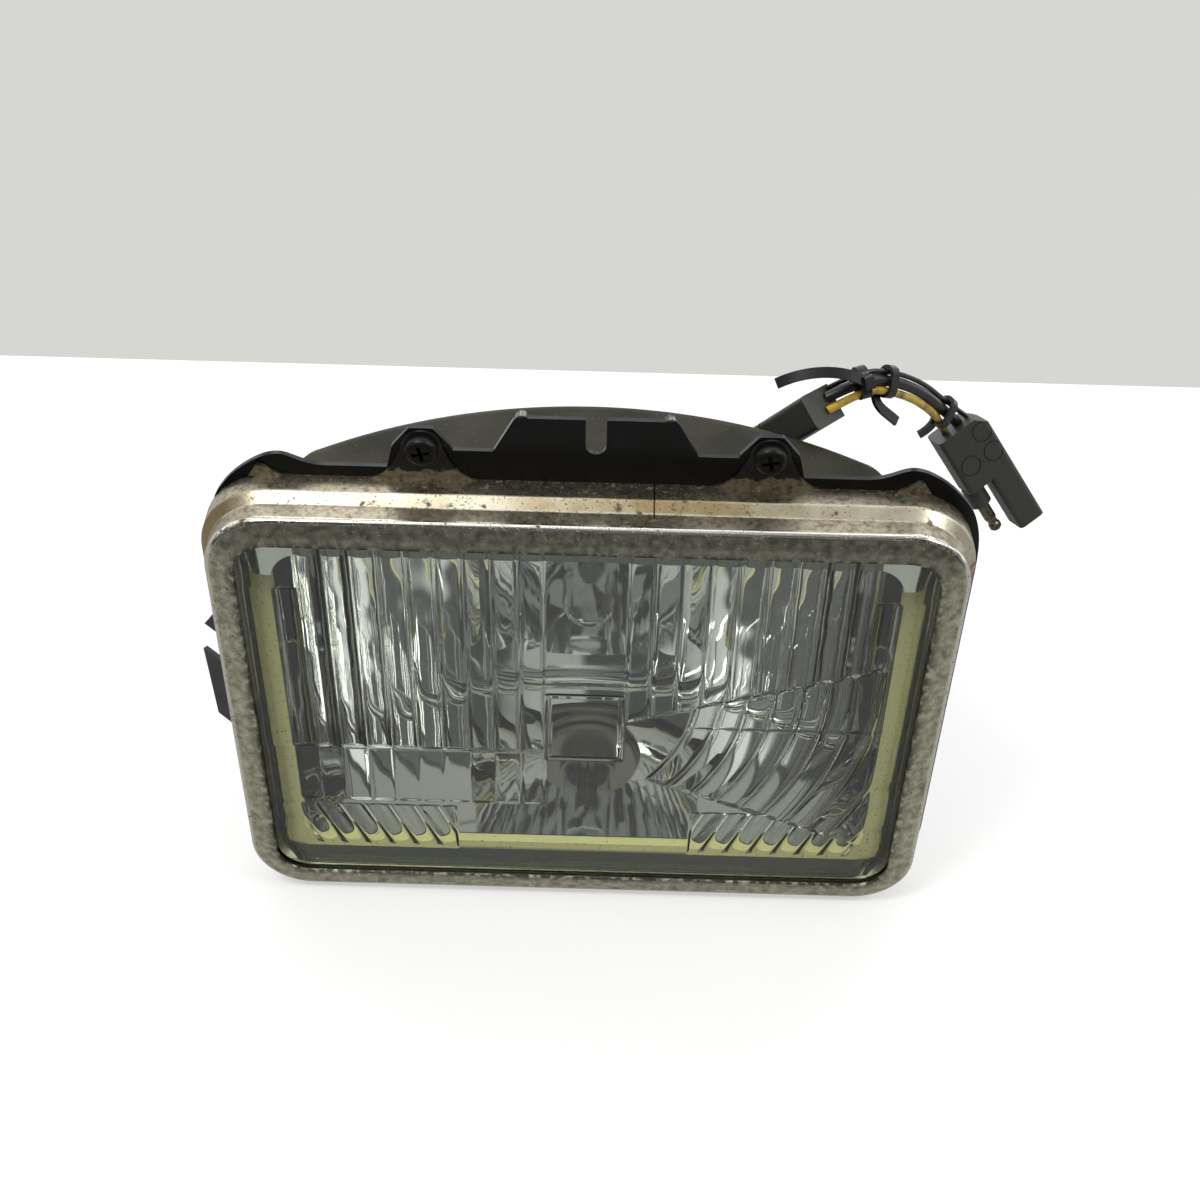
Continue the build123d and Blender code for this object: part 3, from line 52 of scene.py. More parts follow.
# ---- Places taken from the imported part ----
lens_low, lens_high = (Vector(corner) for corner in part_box("lens"))
LENS_MIDDLE = (lens_low + lens_high) / 2
LENS_HALF_WIDTH = (lens_high.x - lens_low.x) / 2
LENS_HALF_HEIGHT = (lens_high.z - lens_low.z) / 2
LENS_CORNER = 14.0 * MM
GUTTER_REACH = 12.0 * MM        # the gutter with the sealant reaches this far in from the lens's edge
FACE_DEPTH = lens_low.y
RING_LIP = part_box("bezel_ring")[0][1]
TAB_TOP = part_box("mounting_frame")[1][2]


def at(x, y, z):
    """A point in millimetres, counted from the ring's lip in depth, in the part's frame."""
    return Vector((x * MM, RING_LIP + y * MM, z * MM))


def link_piece(name, data, material):
    """A piece of the lamp's body from its mesh or curve."""
    data.materials.append(material)
    piece = bpy.data.objects.new(name, data)
    bpy.context.collection.objects.link(piece)
    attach(piece, "lamp")
    return piece


# ---- Shader helpers ----
def linear(colour):
    """Linear RGBA of an sRGB hex colour."""
    parts = [int(colour[place:place + 2], 16) / 255 for place in (1, 3, 5)]
    return [part / 12.92 if part < 0.04045 else ((part + 0.055) / 1.055) ** 2.4 for part in parts] + [1.0]


def feed(tree, value, socket):
    """Set an input to a value, or link it to a socket or to a node's first output."""
    if isinstance(value, bpy.types.Node):
        value = value.outputs[0]
    if isinstance(value, bpy.types.NodeSocket):
        tree.links.new(value, socket)
    else:
        socket.default_value = value


def add_node(tree, kind, inputs=(), **settings):
    """A shader node with its settings, and its inputs by name, by number or in order."""
    node = tree.nodes.new("ShaderNode" + kind)
    for name, value in settings.items():
        setattr(node, name, value)
    for name, value in inputs.items() if isinstance(inputs, dict) else enumerate(inputs):
        feed(tree, value, node.inputs[name])
    return node


def new_material(name, colour, roughness, metallic=0.0, **more):
    """A material with a plain finish; returns it with its tree and shader."""
    material = bpy.data.materials.new(name)
    material.use_nodes = True
    tree = material.node_tree
    shader = tree.nodes["Principled BSDF"]
    shader.inputs["Base Color"].default_value = linear(colour)
    shader.inputs["Roughness"].default_value = roughness
    shader.inputs["Metallic"].default_value = metallic
    for socket, value in more.items():
        shader.inputs[socket.replace("_", " ")].default_value = value
    return material, tree, shader


def object_place(tree):
    """Object coordinates, which are the part's frame in metres on every piece."""
    return add_node(tree, "TexCoord").outputs["Object"]


def speckle(tree, grain_mm, low, high, detail=4.0):
    """Mask of specks about as wide as the grain: 0 below the low noise value and 1 above the high one."""
    noise = add_node(tree, "TexNoise", {
        "Vector": object_place(tree), "Scale": 1 / (grain_mm * MM), "Detail": detail})
    return add_node(tree, "MapRange", {"Value": noise.outputs["Fac"], "From Min": low, "From Max": high})


def blend_colours(tree, mask, first, second):
    """Colour that goes from the first to the second where the mask is 1; each is hex or a socket."""
    mix = add_node(tree, "Mix", {0: mask}, data_type="RGBA")
    for place, colour in ((6, first), (7, second)):
        feed(tree, linear(colour) if isinstance(colour, str) else colour, mix.inputs[place])
    return mix.outputs[2]


def relief(tree, shader, height, depth_mm):
    """Surface bumps of a real depth."""
    bump = add_node(tree, "Bump", {"Height": height, "Distance": depth_mm * MM, "Strength": 1.0})
    feed(tree, bump, shader.inputs["Normal"])


def both(tree, first, second):
    """Mask that is 1 only where both masks are."""
    return add_node(tree, "Math", (first, second), operation="MULTIPLY", use_clamp=True)


def either(tree, first, second):
    """Mask that follows the higher of two."""
    return add_node(tree, "Math", (first, second), operation="MAXIMUM", use_clamp=True)


def opposite(tree, mask):
    """1 where the mask is 0, and 0 where it is 1."""
    return add_node(tree, "Math", (1.0, mask), operation="SUBTRACT", use_clamp=True)


def edge_mask(tree, value, start_mm, end_mm, origin=0.0):
    """0 before the start and 1 after the end of a stretch, in millimetres from an origin in metres."""
    stretch = {"Value": value, "From Min": origin + start_mm * MM, "From Max": origin + end_mm * MM}
    return add_node(tree, "MapRange", stretch)


def rim_distance(tree, place):
    """Distance outwards from the lens's rounded edge, seen from the front."""
    reach = []
    halves = (("X", LENS_MIDDLE.x, LENS_HALF_WIDTH), ("Z", LENS_MIDDLE.z, LENS_HALF_HEIGHT))
    for axis, middle, half in halves:
        offset = add_node(tree, "Math", (place.outputs[axis], middle), operation="SUBTRACT")
        offset = add_node(tree, "Math", (offset,), operation="ABSOLUTE")
        reach.append(add_node(tree, "Math", (offset, half - LENS_CORNER), operation="SUBTRACT"))
    beyond = [add_node(tree, "Math", (part, 0.0), operation="MAXIMUM") for part in reach]
    flat = add_node(tree, "CombineXYZ", beyond)
    far = add_node(tree, "VectorMath", (flat,), operation="LENGTH").outputs["Value"]
    near = add_node(tree, "Math", reach, operation="MAXIMUM")
    near = add_node(tree, "Math", (near, 0.0), operation="MINIMUM")
    outwards = add_node(tree, "Math", (far, near), operation="ADD")
    return add_node(tree, "Math", (outwards, LENS_CORNER), operation="SUBTRACT")


# ---- Materials of the lamp's body ----
STRIP_EDGE = (2.4, 3.0)         # where the ring's front strip turns into the nose, outwards from the lens
WALL_START = (2.8, 3.6)         # depths at which the dull wall, the polished step and the dull band start
STEP_START = (8.2, 8.9)
BAND_START = (11.4, 12.2)
LIP_GRIME = (-3.9, -0.9)        # grime thins out over this stretch from the lip, outwards from the lens
SEAM_PLACE = 0.0175             # where the strip's two ends meet, and half the gap between them
SEAM_HALF = 0.2 * MM
SEAM_HEIGHT = 0.14              # the seam shows above this height and behind these depths
SEAM_START = (6.0, 7.0)
EAR_PAINT_START = 0.1565        # height from which the ears are painted, and how far the edge wanders
EAR_PAINT_RAGGED = 2.5 * MM
EAR_PAINT_FADE = (0.0, 0.8)
TAB_TOP_PALE = (-0.9, -0.2)         # the tab is lighter and metallic in patches over this stretch below its top


def ring_zones(tree, place):
    """Masks of the front strip, the dull walls and the polished step behind the nose."""
    depth = place.outputs["Y"]
    strip = opposite(tree, edge_mask(tree, rim_distance(tree, place), *STRIP_EDGE))
    step = edge_mask(tree, depth, *STEP_START, RING_LIP)
    wall = edge_mask(tree, depth, *WALL_START, RING_LIP)
    wall = add_node(tree, "Math", (wall, step), operation="SUBTRACT", use_clamp=True)
    band = edge_mask(tree, depth, *BAND_START, RING_LIP)
    return strip, add_node(tree, "Math", (wall, band), operation="ADD", use_clamp=True), step


def seam_mask(tree, place):
    """Thin line where the strip's two ends meet, on top and behind the nose."""
    line = add_node(tree, "Math", (place.outputs["X"], SEAM_PLACE, SEAM_HALF), operation="COMPARE")
    line = both(tree, line, edge_mask(tree, place.outputs["Z"], 0.0, 1.0, SEAM_HEIGHT))
    return both(tree, line, edge_mask(tree, place.outputs["Y"], *SEAM_START, RING_LIP))


def ear_mask(tree, place):
    """Painted ears above a ragged edge."""
    ragged = speckle(tree, 3.0, 0.3, 0.7)
    edge = add_node(tree, "Math", (ragged, EAR_PAINT_RAGGED, EAR_PAINT_START), operation="MULTIPLY_ADD")
    above = add_node(tree, "Math", (place.outputs["Z"], edge), operation="SUBTRACT")
    return edge_mask(tree, above, *EAR_PAINT_FADE)


def stained_steel():
    """Rolled strip: satin and pitted in front, browned on its walls, polished between, with black ears."""
    material, tree, shader = new_material("rolled stainless steel, stained", "#cfcabc", 0.28, 1.0)
    place = add_node(tree, "SeparateXYZ", (object_place(tree),))
    strip, walls, step = ring_zones(tree, place)
    brown = blend_colours(tree, speckle(tree, 1.6, 0.44, 0.74, 7.0), "#aaa28e", "#716650")
    satin = blend_colours(tree, speckle(tree, 2.6, 0.36, 0.68, 8.0), "#cbcab2", "#8f8b76")
    golden = blend_colours(tree, speckle(tree, 24.0, 0.4, 0.62, 3.0), "#c9c3ae", "#9c8b66")
    base = blend_colours(tree, strip, blend_colours(tree, step, "#dcd8ca", golden), satin)
    base = blend_colours(tree, walls, base, brown)
    # water stains behind the strip, pits all over, and grime at the lip
    stain = both(tree, speckle(tree, 3.0, 0.62, 0.70, 6.0), opposite(tree, strip))
    base = blend_colours(tree, stain, base, "#5a4a31")
    pits = speckle(tree, 0.6, 0.62, 0.68)
    base = blend_colours(tree, pits, base, "#453d2f")
    grime = opposite(tree, edge_mask(tree, rim_distance(tree, place), *LIP_GRIME))
    grime = both(tree, grime, speckle(tree, 2.2, 0.34, 0.54, 6.0))
    base = blend_colours(tree, grime, base, "#2a2118")
    base = blend_colours(tree, seam_mask(tree, place), base, "#2c241b")
    ears = ear_mask(tree, place)
    base = blend_colours(tree, ears, base, "#121110")
    feed(tree, base, shader.inputs["Base Color"])
    # the walls, the strip and the step are duller than the nose, and dirt and paint hide the metal
    dull = add_node(tree, "Math", (walls, strip), operation="ADD", use_clamp=True)
    dull = either(tree, step, dull)
    finish = add_node(tree, "MapRange", {"Value": dull, "To Min": 0.16, "To Max": 0.36})
    feed(tree, finish, shader.inputs["Roughness"])
    dirt = either(tree, either(tree, grime, ears), either(tree, stain, pits))
    feed(tree, opposite(tree, dirt), shader.inputs["Metallic"])
    relief(tree, shader, pits, -0.05)
    return material


def black_enamel():
    """Dipped enamel: deep black with a soft uneven gloss, dust specks, and lighter, metallic patches along
    the tab's top.
    """
    material, tree, shader = new_material("black dip enamel", "#080808", 0.3, Specular_IOR_Level=0.3)
    # real dust is finer than these specks, which are drawn at 0.7 mm to show
    base = blend_colours(tree, speckle(tree, 0.7, 0.68, 0.74), "#080808", "#4d4a42")
    height = add_node(tree, "SeparateXYZ", (object_place(tree),)).outputs["Z"]
    # lighter, metallic patches in a stretch just below the tab's top
    pale_top = both(tree, edge_mask(tree, height, *TAB_TOP_PALE, TAB_TOP), speckle(tree, 4.0, 0.42, 0.55))
    feed(tree, blend_colours(tree, pale_top, base, "#77746a"), shader.inputs["Base Color"])
    feed(tree, pale_top, shader.inputs["Metallic"])
    cloud = speckle(tree, 14.0, 0.35, 0.7)
    film = add_node(tree, "MapRange", {"Value": cloud, "To Min": 0.24, "To Max": 0.45})
    feed(tree, film, shader.inputs["Roughness"])
    return material


def stove_paint():
    """Olive-grey paint, sprayed on the pressing and stoved: nearly matt, cloudy, with pale dust."""
    material, tree, shader = new_material("olive grey stove paint", "#34332b", 0.6, Specular_IOR_Level=0.12)
    film = blend_colours(tree, speckle(tree, 22.0, 0.35, 0.7), "#26251e", "#3a382d")
    dusty = blend_colours(tree, speckle(tree, 1.3, 0.64, 0.74), film, "#4b4940")
    feed(tree, dusty, shader.inputs["Base Color"])
    return material


def vapour_mirror():
    """Aluminium evaporated onto lacquer: a mirror with a faint haze."""
    return new_material("vapour-coated aluminium", "#f2f2f0", 0.035, 1.0)[0]


def pressed_glass():
    """Pressed soda-lime glass: clear, faintly green, and it lets light through to what is behind it."""
    material, tree, shader = new_material(
        "pressed soda-lime glass", "#f4f8f2", 0.0, Transmission_Weight=1.0, IOR=1.52)
    clear = add_node(tree, "BsdfTransparent", {"Color": linear("#e9efe6")})
    shadow = add_node(tree, "LightPath").outputs["Is Shadow Ray"]
    mix = add_node(tree, "MixShader", (shadow, shader, clear))
    feed(tree, mix, tree.nodes["Material Output"].inputs["Surface"])
    return material


BEAD_SHADED_BELOW = (-62.5, -61.0)       # painted shade: the bead is dark below this level, from the lens's middle
BEAD_COATED = (50.5, 51.0)      # the coating covers it above this one
COATING_GLARE_SIDE = (79.0, 80.0)   # painted reflection: the coating is dark in the middle and bright beyond this distance from it


def butyl_bead():
    """Extruded butyl sealant: khaki, matt with dark crumbs, painted shade low down, silvered by the coating
    above, with a painted reflection dark in the middle and bright at the sides.
    """
    material, tree, shader = new_material("extruded butyl sealant, aged", "#e5da9c", 0.7)
    khaki = blend_colours(tree, speckle(tree, 0.9, 0.64, 0.7), "#e5da9c", "#6d6745")
    place = add_node(tree, "SeparateXYZ", (object_place(tree),))
    side = add_node(tree, "Math", (place.outputs["X"],), operation="ABSOLUTE")
    # painted reflection: the coating's colour is dark in the middle and bright towards the sides
    silver_painted_glare = blend_colours(tree, edge_mask(tree, side, *COATING_GLARE_SIDE), "#6a6e67", "#d6d8d2")
    # painted shade: the bead is painted dark low down
    low = opposite(tree, edge_mask(tree, place.outputs["Z"], *BEAD_SHADED_BELOW, LENS_MIDDLE.z))
    khaki_aged_and_shaded = blend_colours(tree, low, khaki, "#3a382a")
    coated = edge_mask(tree, place.outputs["Z"], *BEAD_COATED, LENS_MIDDLE.z)
    feed(tree, blend_colours(tree, coated, khaki_aged_and_shaded, silver_painted_glare), shader.inputs["Base Color"])
    feed(tree, coated, shader.inputs["Metallic"])
    sheen = add_node(tree, "MapRange", {"Value": coated, "To Min": 0.7, "To Max": 0.08})
    feed(tree, sheen, shader.inputs["Roughness"])
    return material


# ---- Lens: flat face, skirt, and prisms on the inner face; its pattern in millimetres from the centre ----
GLASS = 3.6 * MM
SKIRT_WALL = 3.5 * MM
EDGE_ROUND = 2.0 * MM
ROUND_STEPS = 6
FIELD_WIDTH = 87.0              # half sizes of the prism field
FIELD_TOP = 66.0
FIELD_STEP = 0.5
FIELD_FADE = 2.0                # the prisms run out over this width at the field's edge
WALL_RUN = 0.4                  # width of the step at a pattern's edge
PANEL_SIDE = 11.4               # half width of the clear panel
PANEL_MIDDLE = -2.15            # level of the middle of the raised line round it
PANEL_LINE = (10.9, 12.9)       # half sizes of that line, its half width and its height
PANEL_LINE_HALF = 0.5
PANEL_LINE_HEIGHT = 0.4
FLUTE_PITCH = 7.6
FLUTE_LOW = 0.35                # flute height beside the clear panel
FLUTE_HIGH = 1.3                # and from TALL_START + TALL_RUN outwards
TALL_START = 25.0
TALL_RUN = 45.0
FLUTE_FLOOR = -13.0             # lower end of the left flutes
RIPPLE = 0.05                   # each flute swells and narrows by this share, in waves of
RIPPLE_TURN = 0.45              # so many radians for each millimetre
RIPPLE_SHIFT = 1.9              # and this many from flute to flute
BLOCK_HEIGHT = 0.3              # the ridges stand on a block this high, cut through by the furrows
FURROW_WIDTH = 0.6
SHALLOW_SHARE = 0.2             # of the full height, where the left flutes run on below their floor
SHALLOW_FLOOR = -36.0
NOTCH_SIDE = 80.0               # plain glass in the two upper corners
NOTCH_LEVEL = 49.0
CUT_OFF_START = 0.5             # the right flutes end on a line that rises outwards from the panel
CUT_OFF_RISE = 0.315
SECTOR_START = -20.3            # lower edge of the arched ridges, which falls outwards from the panel
SECTOR_FALL = 0.414
ARC_CENTRE = (-26.0, 14.0)      # of the arched ridges, and the radius of the first furrow
ARC_START = 57.9
ARCH_HEIGHT = 0.55
ARCH_LEVEL = -1.6               # above it the ridges stand a little higher
ARCH_STEP = 0.25
ARCH_RUN = 0.3
FOOT_SLANT = math.radians(23)   # of the foot ridges, which lean outwards at the top
FOOT_PITCH = 6.9
FOOT_HEIGHT = 0.9
FOOT_LEFT = 39.0                # the foot ridges start this far from the middle, left and right
FOOT_RIGHT = 33.0
FOOT_TOP = -38.0
FOOT_FLOOR = -57.5
FOOT_RUN = 0.5


def ramp(value, start, width):
    """0 before the start and 1 after it, over a short width."""
    return np.clip((value - start) / width, 0.0, 1.0)


def ridges(across, pitch, height):
    """Round ridges side by side, highest at the middle of each pitch."""
    share = (across / pitch) % 1.0
    return height * (1 - (2 * share - 1) ** 2)


def block(across, pitch):
    """The low block under ridges, cut through by a furrow between each two."""
    share = (across / pitch) % 1.0
    beside = np.minimum(share, 1 - share) * pitch
    return BLOCK_HEIGHT * (1 - np.exp(-((beside / FURROW_WIDTH) ** 2)))


def flute_height(x, z):
    """Upright flutes over the whole lens."""
    tall = FLUTE_LOW + (FLUTE_HIGH - FLUTE_LOW) * ramp(np.abs(x), TALL_START, TALL_RUN)
    ripple = 1 + RIPPLE * np.sin(RIPPLE_TURN * z + RIPPLE_SHIFT * np.round(x / FLUTE_PITCH))
    across = x + FLUTE_PITCH / 2
    return ridges(across, FLUTE_PITCH, 1.0) * tall * ripple + block(across, FLUTE_PITCH)


def arch_height(x, z):
    """Arched ridges round their centre, with a step in their height."""
    reach = np.hypot(x - ARC_CENTRE[0], z - ARC_CENTRE[1]) - ARC_START
    arches = ridges(reach, FLUTE_PITCH, ARCH_HEIGHT) + ARCH_STEP * ramp(z, ARCH_LEVEL, ARCH_RUN)
    return (arches + block(reach, FLUTE_PITCH)) * ramp(reach, 0.0, WALL_RUN)


def foot_height(x, z):
    """Slanted ridges along the lower edge, left and right."""
    side = np.abs(x)
    slanted = math.cos(FOOT_SLANT) * side - math.sin(FOOT_SLANT) * z
    foot = np.where(x < 0, ramp(-x, FOOT_LEFT, FOOT_RUN), ramp(x, FOOT_RIGHT, FOOT_RUN))
    foot = foot * ramp(-z, -FOOT_TOP, FOOT_RUN) * ramp(z, FOOT_FLOOR, FOOT_RUN)
    return ridges(slanted, FOOT_PITCH, FOOT_HEIGHT) * foot


def prism_height(x, z):
    """Thickness that the prisms add to the glass, in millimetres, at a place on the lens."""
    side = np.abs(x)
    cut_off = np.where(x < 0, FLUTE_FLOOR, CUT_OFF_START + CUT_OFF_RISE * (x - PANEL_SIDE))
    sector = (x > PANEL_SIDE) & (z < cut_off) & (z > SECTOR_START - SECTOR_FALL * (x - PANEL_SIDE))
    notch = ramp(side, NOTCH_SIDE, WALL_RUN) * ramp(z, NOTCH_LEVEL, WALL_RUN)
    upper = ramp(z, cut_off, WALL_RUN) * ramp(side, PANEL_SIDE, WALL_RUN) * (1 - notch)
    below = ramp(-x, PANEL_SIDE, WALL_RUN) * (z < FLUTE_FLOOR) * (z > SHALLOW_FLOOR)
    flutes = flute_height(x, z)
    from_line = np.maximum(side - PANEL_LINE[0], np.abs(z - PANEL_MIDDLE) - PANEL_LINE[1])
    panel_line = PANEL_LINE_HEIGHT * (np.abs(from_line) < PANEL_LINE_HALF)
    return np.maximum.reduce([
        flutes * upper, SHALLOW_SHARE * flutes * below, arch_height(x, z) * sector,
        foot_height(x, z) * (1 - sector), panel_line,
    ])


def rounded_place(x, z, half_width, half_height, corner):
    """A place on a rectangle's edge, moved onto the edge of a rounded rectangle of these half sizes."""
    x, z = x * half_width, z * half_height
    middle_x = math.copysign(half_width - corner, x)
    middle_z = math.copysign(half_height - corner, z)
    if abs(x) > abs(middle_x) and abs(z) > abs(middle_z):
        reach = Vector((x - middle_x, z - middle_z)).normalized() * corner
        return middle_x + reach.x, middle_z + reach.y
    return x, z


def prism_field():
    """Points and faces of the inner face, and the places of its rim as shares of the half sizes."""
    columns = int(2 * FIELD_WIDTH / FIELD_STEP)
    rows = int(2 * FIELD_TOP / FIELD_STEP)
    xs = np.linspace(-FIELD_WIDTH, FIELD_WIDTH, columns + 1)
    zs = np.linspace(-FIELD_TOP, FIELD_TOP, rows + 1)
    grid_x, grid_z = np.meshgrid(xs, zs)
    from_side = ramp(FIELD_WIDTH - np.abs(grid_x), 0, FIELD_FADE)
    from_top = ramp(FIELD_TOP - np.abs(grid_z), 0, FIELD_FADE)
    height = prism_height(grid_x, grid_z) * np.minimum(from_side, from_top)
    points = [
        (LENS_MIDDLE.x + x * MM, FACE_DEPTH + GLASS + h * MM, LENS_MIDDLE.z + z * MM)
        for x, h, z in zip(grid_x.ravel(), height.ravel(), grid_z.ravel())
    ]
    width = columns + 1
    faces = []
    for row in range(rows):
        for column in range(columns):
            corner = row * width + column
            faces.append((corner, corner + 1, corner + 1 + width, corner + width))
    rim = list(range(width)) + [row * width + columns for row in range(1, rows + 1)]
    rim += [rows * width + column for column in range(columns - 1, -1, -1)]
    rim += [row * width for row in range(rows - 1, 0, -1)]
    shares = [(grid_x.ravel()[index] / FIELD_WIDTH, grid_z.ravel()[index] / FIELD_TOP) for index in rim]
    return points, faces, rim, shares


def build_lens():
    """The lens as one closed solid: prism field, skirt inside and out, rounded edge and flat face."""
    points, faces, last, shares = prism_field()
    inner = FACE_DEPTH + GLASS
    skirt_end = lens_high.y
    loops = [(SKIRT_WALL, inner), (SKIRT_WALL, skirt_end), (0.0, skirt_end), (0.0, FACE_DEPTH + EDGE_ROUND)]
    for step in range(1, ROUND_STEPS + 1):
        turn = math.radians(90 / ROUND_STEPS * step)
        loops.append((EDGE_ROUND * (1 - math.cos(turn)), FACE_DEPTH + EDGE_ROUND * (1 - math.sin(turn))))
    for inset, depth in loops:
        start = len(points)
        for x, z in shares:
            x, z = rounded_place(x, z, LENS_HALF_WIDTH - inset, LENS_HALF_HEIGHT - inset, LENS_CORNER - inset)
            points.append((LENS_MIDDLE.x + x, depth, LENS_MIDDLE.z + z))
        current = list(range(start, start + len(shares)))
        for index in range(len(shares)):
            after = (index + 1) % len(shares)
            faces.append((last[index], last[after], current[after], current[index]))
        last = current
    faces.append(tuple(reversed(last)))
    mesh = bpy.data.meshes.new("prism_lens")
    mesh.from_pydata(points, [], faces)
    shape = bmesh.new()
    shape.from_mesh(mesh)
    bmesh.ops.recalc_face_normals(shape, faces=shape.faces)
    for face in shape.faces:
        face.smooth = len(face.verts) == 4
    shape.to_mesh(mesh)
    shape.free()
    lens = link_piece("prism_lens", mesh, pressed_glass())
    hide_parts("lens")


# ---- Reflector: its three finishes, and the rim of its bowl, in millimetres ----
MIRROR_MIDDLE = 40.0            # depth of the point that all the mirror's faces look at
BOWL_RIM = 53.0                 # radius of the bowl's rim, and the depth of its edge
BOWL_EDGE = 78.4
REAR_DEPTH = 84.0               # rear wall on the centre line, and its radius seen from above
REAR_RADIUS = 143.0
SHEET = 0.9
LEAST_DEPTH = 0.1               # of the sheet where the wall comes closest
RIM_SPREAD = math.radians(42)
RIM_STEPS = 48
RIM_SIDES = ((0, 1), (1, 3), (3, 2), (2, 0))    # pairs of the sheet section's four corners


def paint_reflector(outside, inside, gutter):
    """Mirror on the faces in the opening that look at its middle, sealant in the gutter, paint elsewhere."""
    mesh = NODES["reflector"].data
    mesh.materials.clear()
    for material in (outside, inside, gutter):
        mesh.materials.append(material)
    world = NODES["reflector"].matrix_world
    middle = at(0, MIRROR_MIDDLE, LENS_MIDDLE.z / MM)
    half_width = LENS_HALF_WIDTH - GUTTER_REACH
    half_height = LENS_HALF_HEIGHT - GUTTER_REACH
    for polygon in mesh.polygons:
        normal = (world.to_3x3() @ polygon.normal).normalized()
        away = world @ polygon.center - middle
        opening = abs(away.x) < half_width and abs(away.z) < half_height
        if normal.dot(away) > 0 or (normal.y > 0.5 and not opening):
            polygon.material_index = 0
        else:
            polygon.material_index = 1 if opening else 2


def build_bowl_rim(material):
    """Two sickles of sheet that close the bowl against the rear wall where the wall curves away from it."""
    corners = []
    faces = []
    for side in (0.0, math.pi):
        for step in range(RIM_STEPS + 1):
            turn = side + RIM_SPREAD * (2 * step / RIM_STEPS - 1)
            for radius in (BOWL_RIM, BOWL_RIM - SHEET):
                x = radius * math.cos(turn)
                z = radius * math.sin(turn) + LENS_MIDDLE.z / MM
                wall = REAR_DEPTH - REAR_RADIUS + math.sqrt(REAR_RADIUS ** 2 - x ** 2) - SHEET / 2
                corners += [at(x, min(wall, BOWL_EDGE - LEAST_DEPTH), z), at(x, BOWL_EDGE, z)]
            if step:
                old = len(corners) - 8
                faces += [(old + a, old + b, old + b + 4, old + a + 4) for a, b in RIM_SIDES]
    mesh = bpy.data.meshes.new("bowl_rim")
    mesh.from_pydata(corners, [], faces)
    link_piece("bowl_rim", mesh, material)


# ---- Cords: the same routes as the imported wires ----
def plane_place(origin, aim, across, side, lift, ahead=0.0):
    """A point on a connector, from its wire end: across it, above it and along it."""
    aim = Vector(aim).normalized()
    across = Vector(across)
    across = (across - aim * across.dot(aim)).normalized()
    return Vector(origin) + across * side + aim.cross(across) * lift + aim * ahead


# each connector's wire end: its place, its aim and the direction across it
UPPER = ((69.9, 74.9, 143.3), (-0.499, 0.412, -0.762), (0.698, 0.713, -0.072))
LOWER = ((115.8, 103.9, 116.0), (0.571, -0.176, -0.800), (0.811, 0.386, 0.434))
UPPER_LENGTH = 31.0
BOOT_MOUTH = 145.8              # depth at which the lead leaves the plug's boot
LEAD_ROUTE = [
    (0.0, BOOT_MOUTH, 77.5), (0.5, 161.0, 73.0), (4.0, 172.0, 57.5), (18.0, 174.0, 42.5),
    (37.0, 163.0, 38.5), (49.0, 145.0, 48.5), (54.0, 125.0, 66.0), (56.5, 106.0, 90.0),
    plane_place(*UPPER, 0, 0, UPPER_LENGTH),
]
YELLOW_ROUTE = [
    plane_place(*UPPER, -1.5, 1.8), (80.6, 77.6, 146.9), (90.0, 84.7, 141.7), (100.1, 91.5, 133.6),
    (108.5, 96.3, 124.0), plane_place(*LOWER, -4.0, 0),
]
BLACK_ROUTE = [
    plane_place(*UPPER, 0.8, -1.8), (80.0, 79.0, 149.6), (90.5, 86.5, 144.3), (101.0, 93.5, 135.8),
    (109.5, 98.5, 126.0), plane_place(*LOWER, 1.0, 0),
]
THIN_ROUTE = [
    plane_place(*UPPER, 3.2, -4.2), (79.5, 80.2, 152.0), (90.9, 88.0, 146.5), (101.8, 95.2, 137.7),
    (110.4, 100.3, 127.8), plane_place(*LOWER, 4.6, 0),
]


def build_cord(name, node, route, radius, material, slot, stiffness, end_pieces):
    """A round cord on its route, standing for its CAD node."""
    curve = bpy.data.curves.new(name, "CURVE")
    curve.dimensions = "3D"
    curve.bevel_depth = radius * MM
    curve.bevel_resolution = 6
    curve.resolution_u = 16
    curve.use_fill_caps = True
    spline = curve.splines.new("NURBS")
    spline.points.add(len(route) - 1)
    for point, place in zip(spline.points, route):
        point.co = (*at(*place), 1.0)
    spline.order_u = 3
    spline.use_endpoint_u = True
    cord = link_piece(name, curve, material)
    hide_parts(node)


def soft_pvc(name, colour, soiled):
    """Extruded PVC: smooth and half glossy, with road dirt in patches."""
    material, tree, shader = new_material(name, colour, 0.32)
    dirt = speckle(tree, 4.0, 0.42, 0.66)
    feed(tree, blend_colours(tree, dirt, colour, soiled), shader.inputs["Base Color"])
    return material


def build_cords():
    """The lead to the bulb plug and the three wires between the connectors."""
    sleeve = soft_pvc("extruded black PVC sleeve", "#101010", "#24231f")
    thin = soft_pvc("extruded black PVC", "#131312", "#24231f")
    yellow = soft_pvc("extruded yellow PVC", "#bb9a2e", "#6a5a2a")
    upper = [NODES["connector_upper"]]
    lower = [NODES[name] for name in ("connector_lower", "bullet_pin", "socket_contact")]
    cords = (
        ("bulb_lead", "rear_lead", LEAD_ROUTE, 1.8, sleeve, "sleeve_black", "medium", upper),
        ("yellow_core", "yellow_wire", YELLOW_ROUTE, 1.25, yellow, "wire_yellow", "medium", lower),
        ("sleeved_core", "black_wire", BLACK_ROUTE, 1.7, sleeve, "sleeve_black", "medium", lower),
        ("thin_core", "thin_wire", THIN_ROUTE, 0.8, thin, "sleeve_black", "limp", lower),
    )
    for facts in cords:
        build_cord(*facts)


# ---- Materials of the small parts ----
def moulded_plastic(name, colour, roughness):
    """Injection-moulded plastic or rubber: a dull sheen broken by the mould's grain."""
    material, tree, shader = new_material(name, colour, roughness)
    # the mould's grain is finer than this, and drawn at 0.8 mm to show
    relief(tree, shader, speckle(tree, 0.8, 0.3, 0.7), 0.02)
    return material


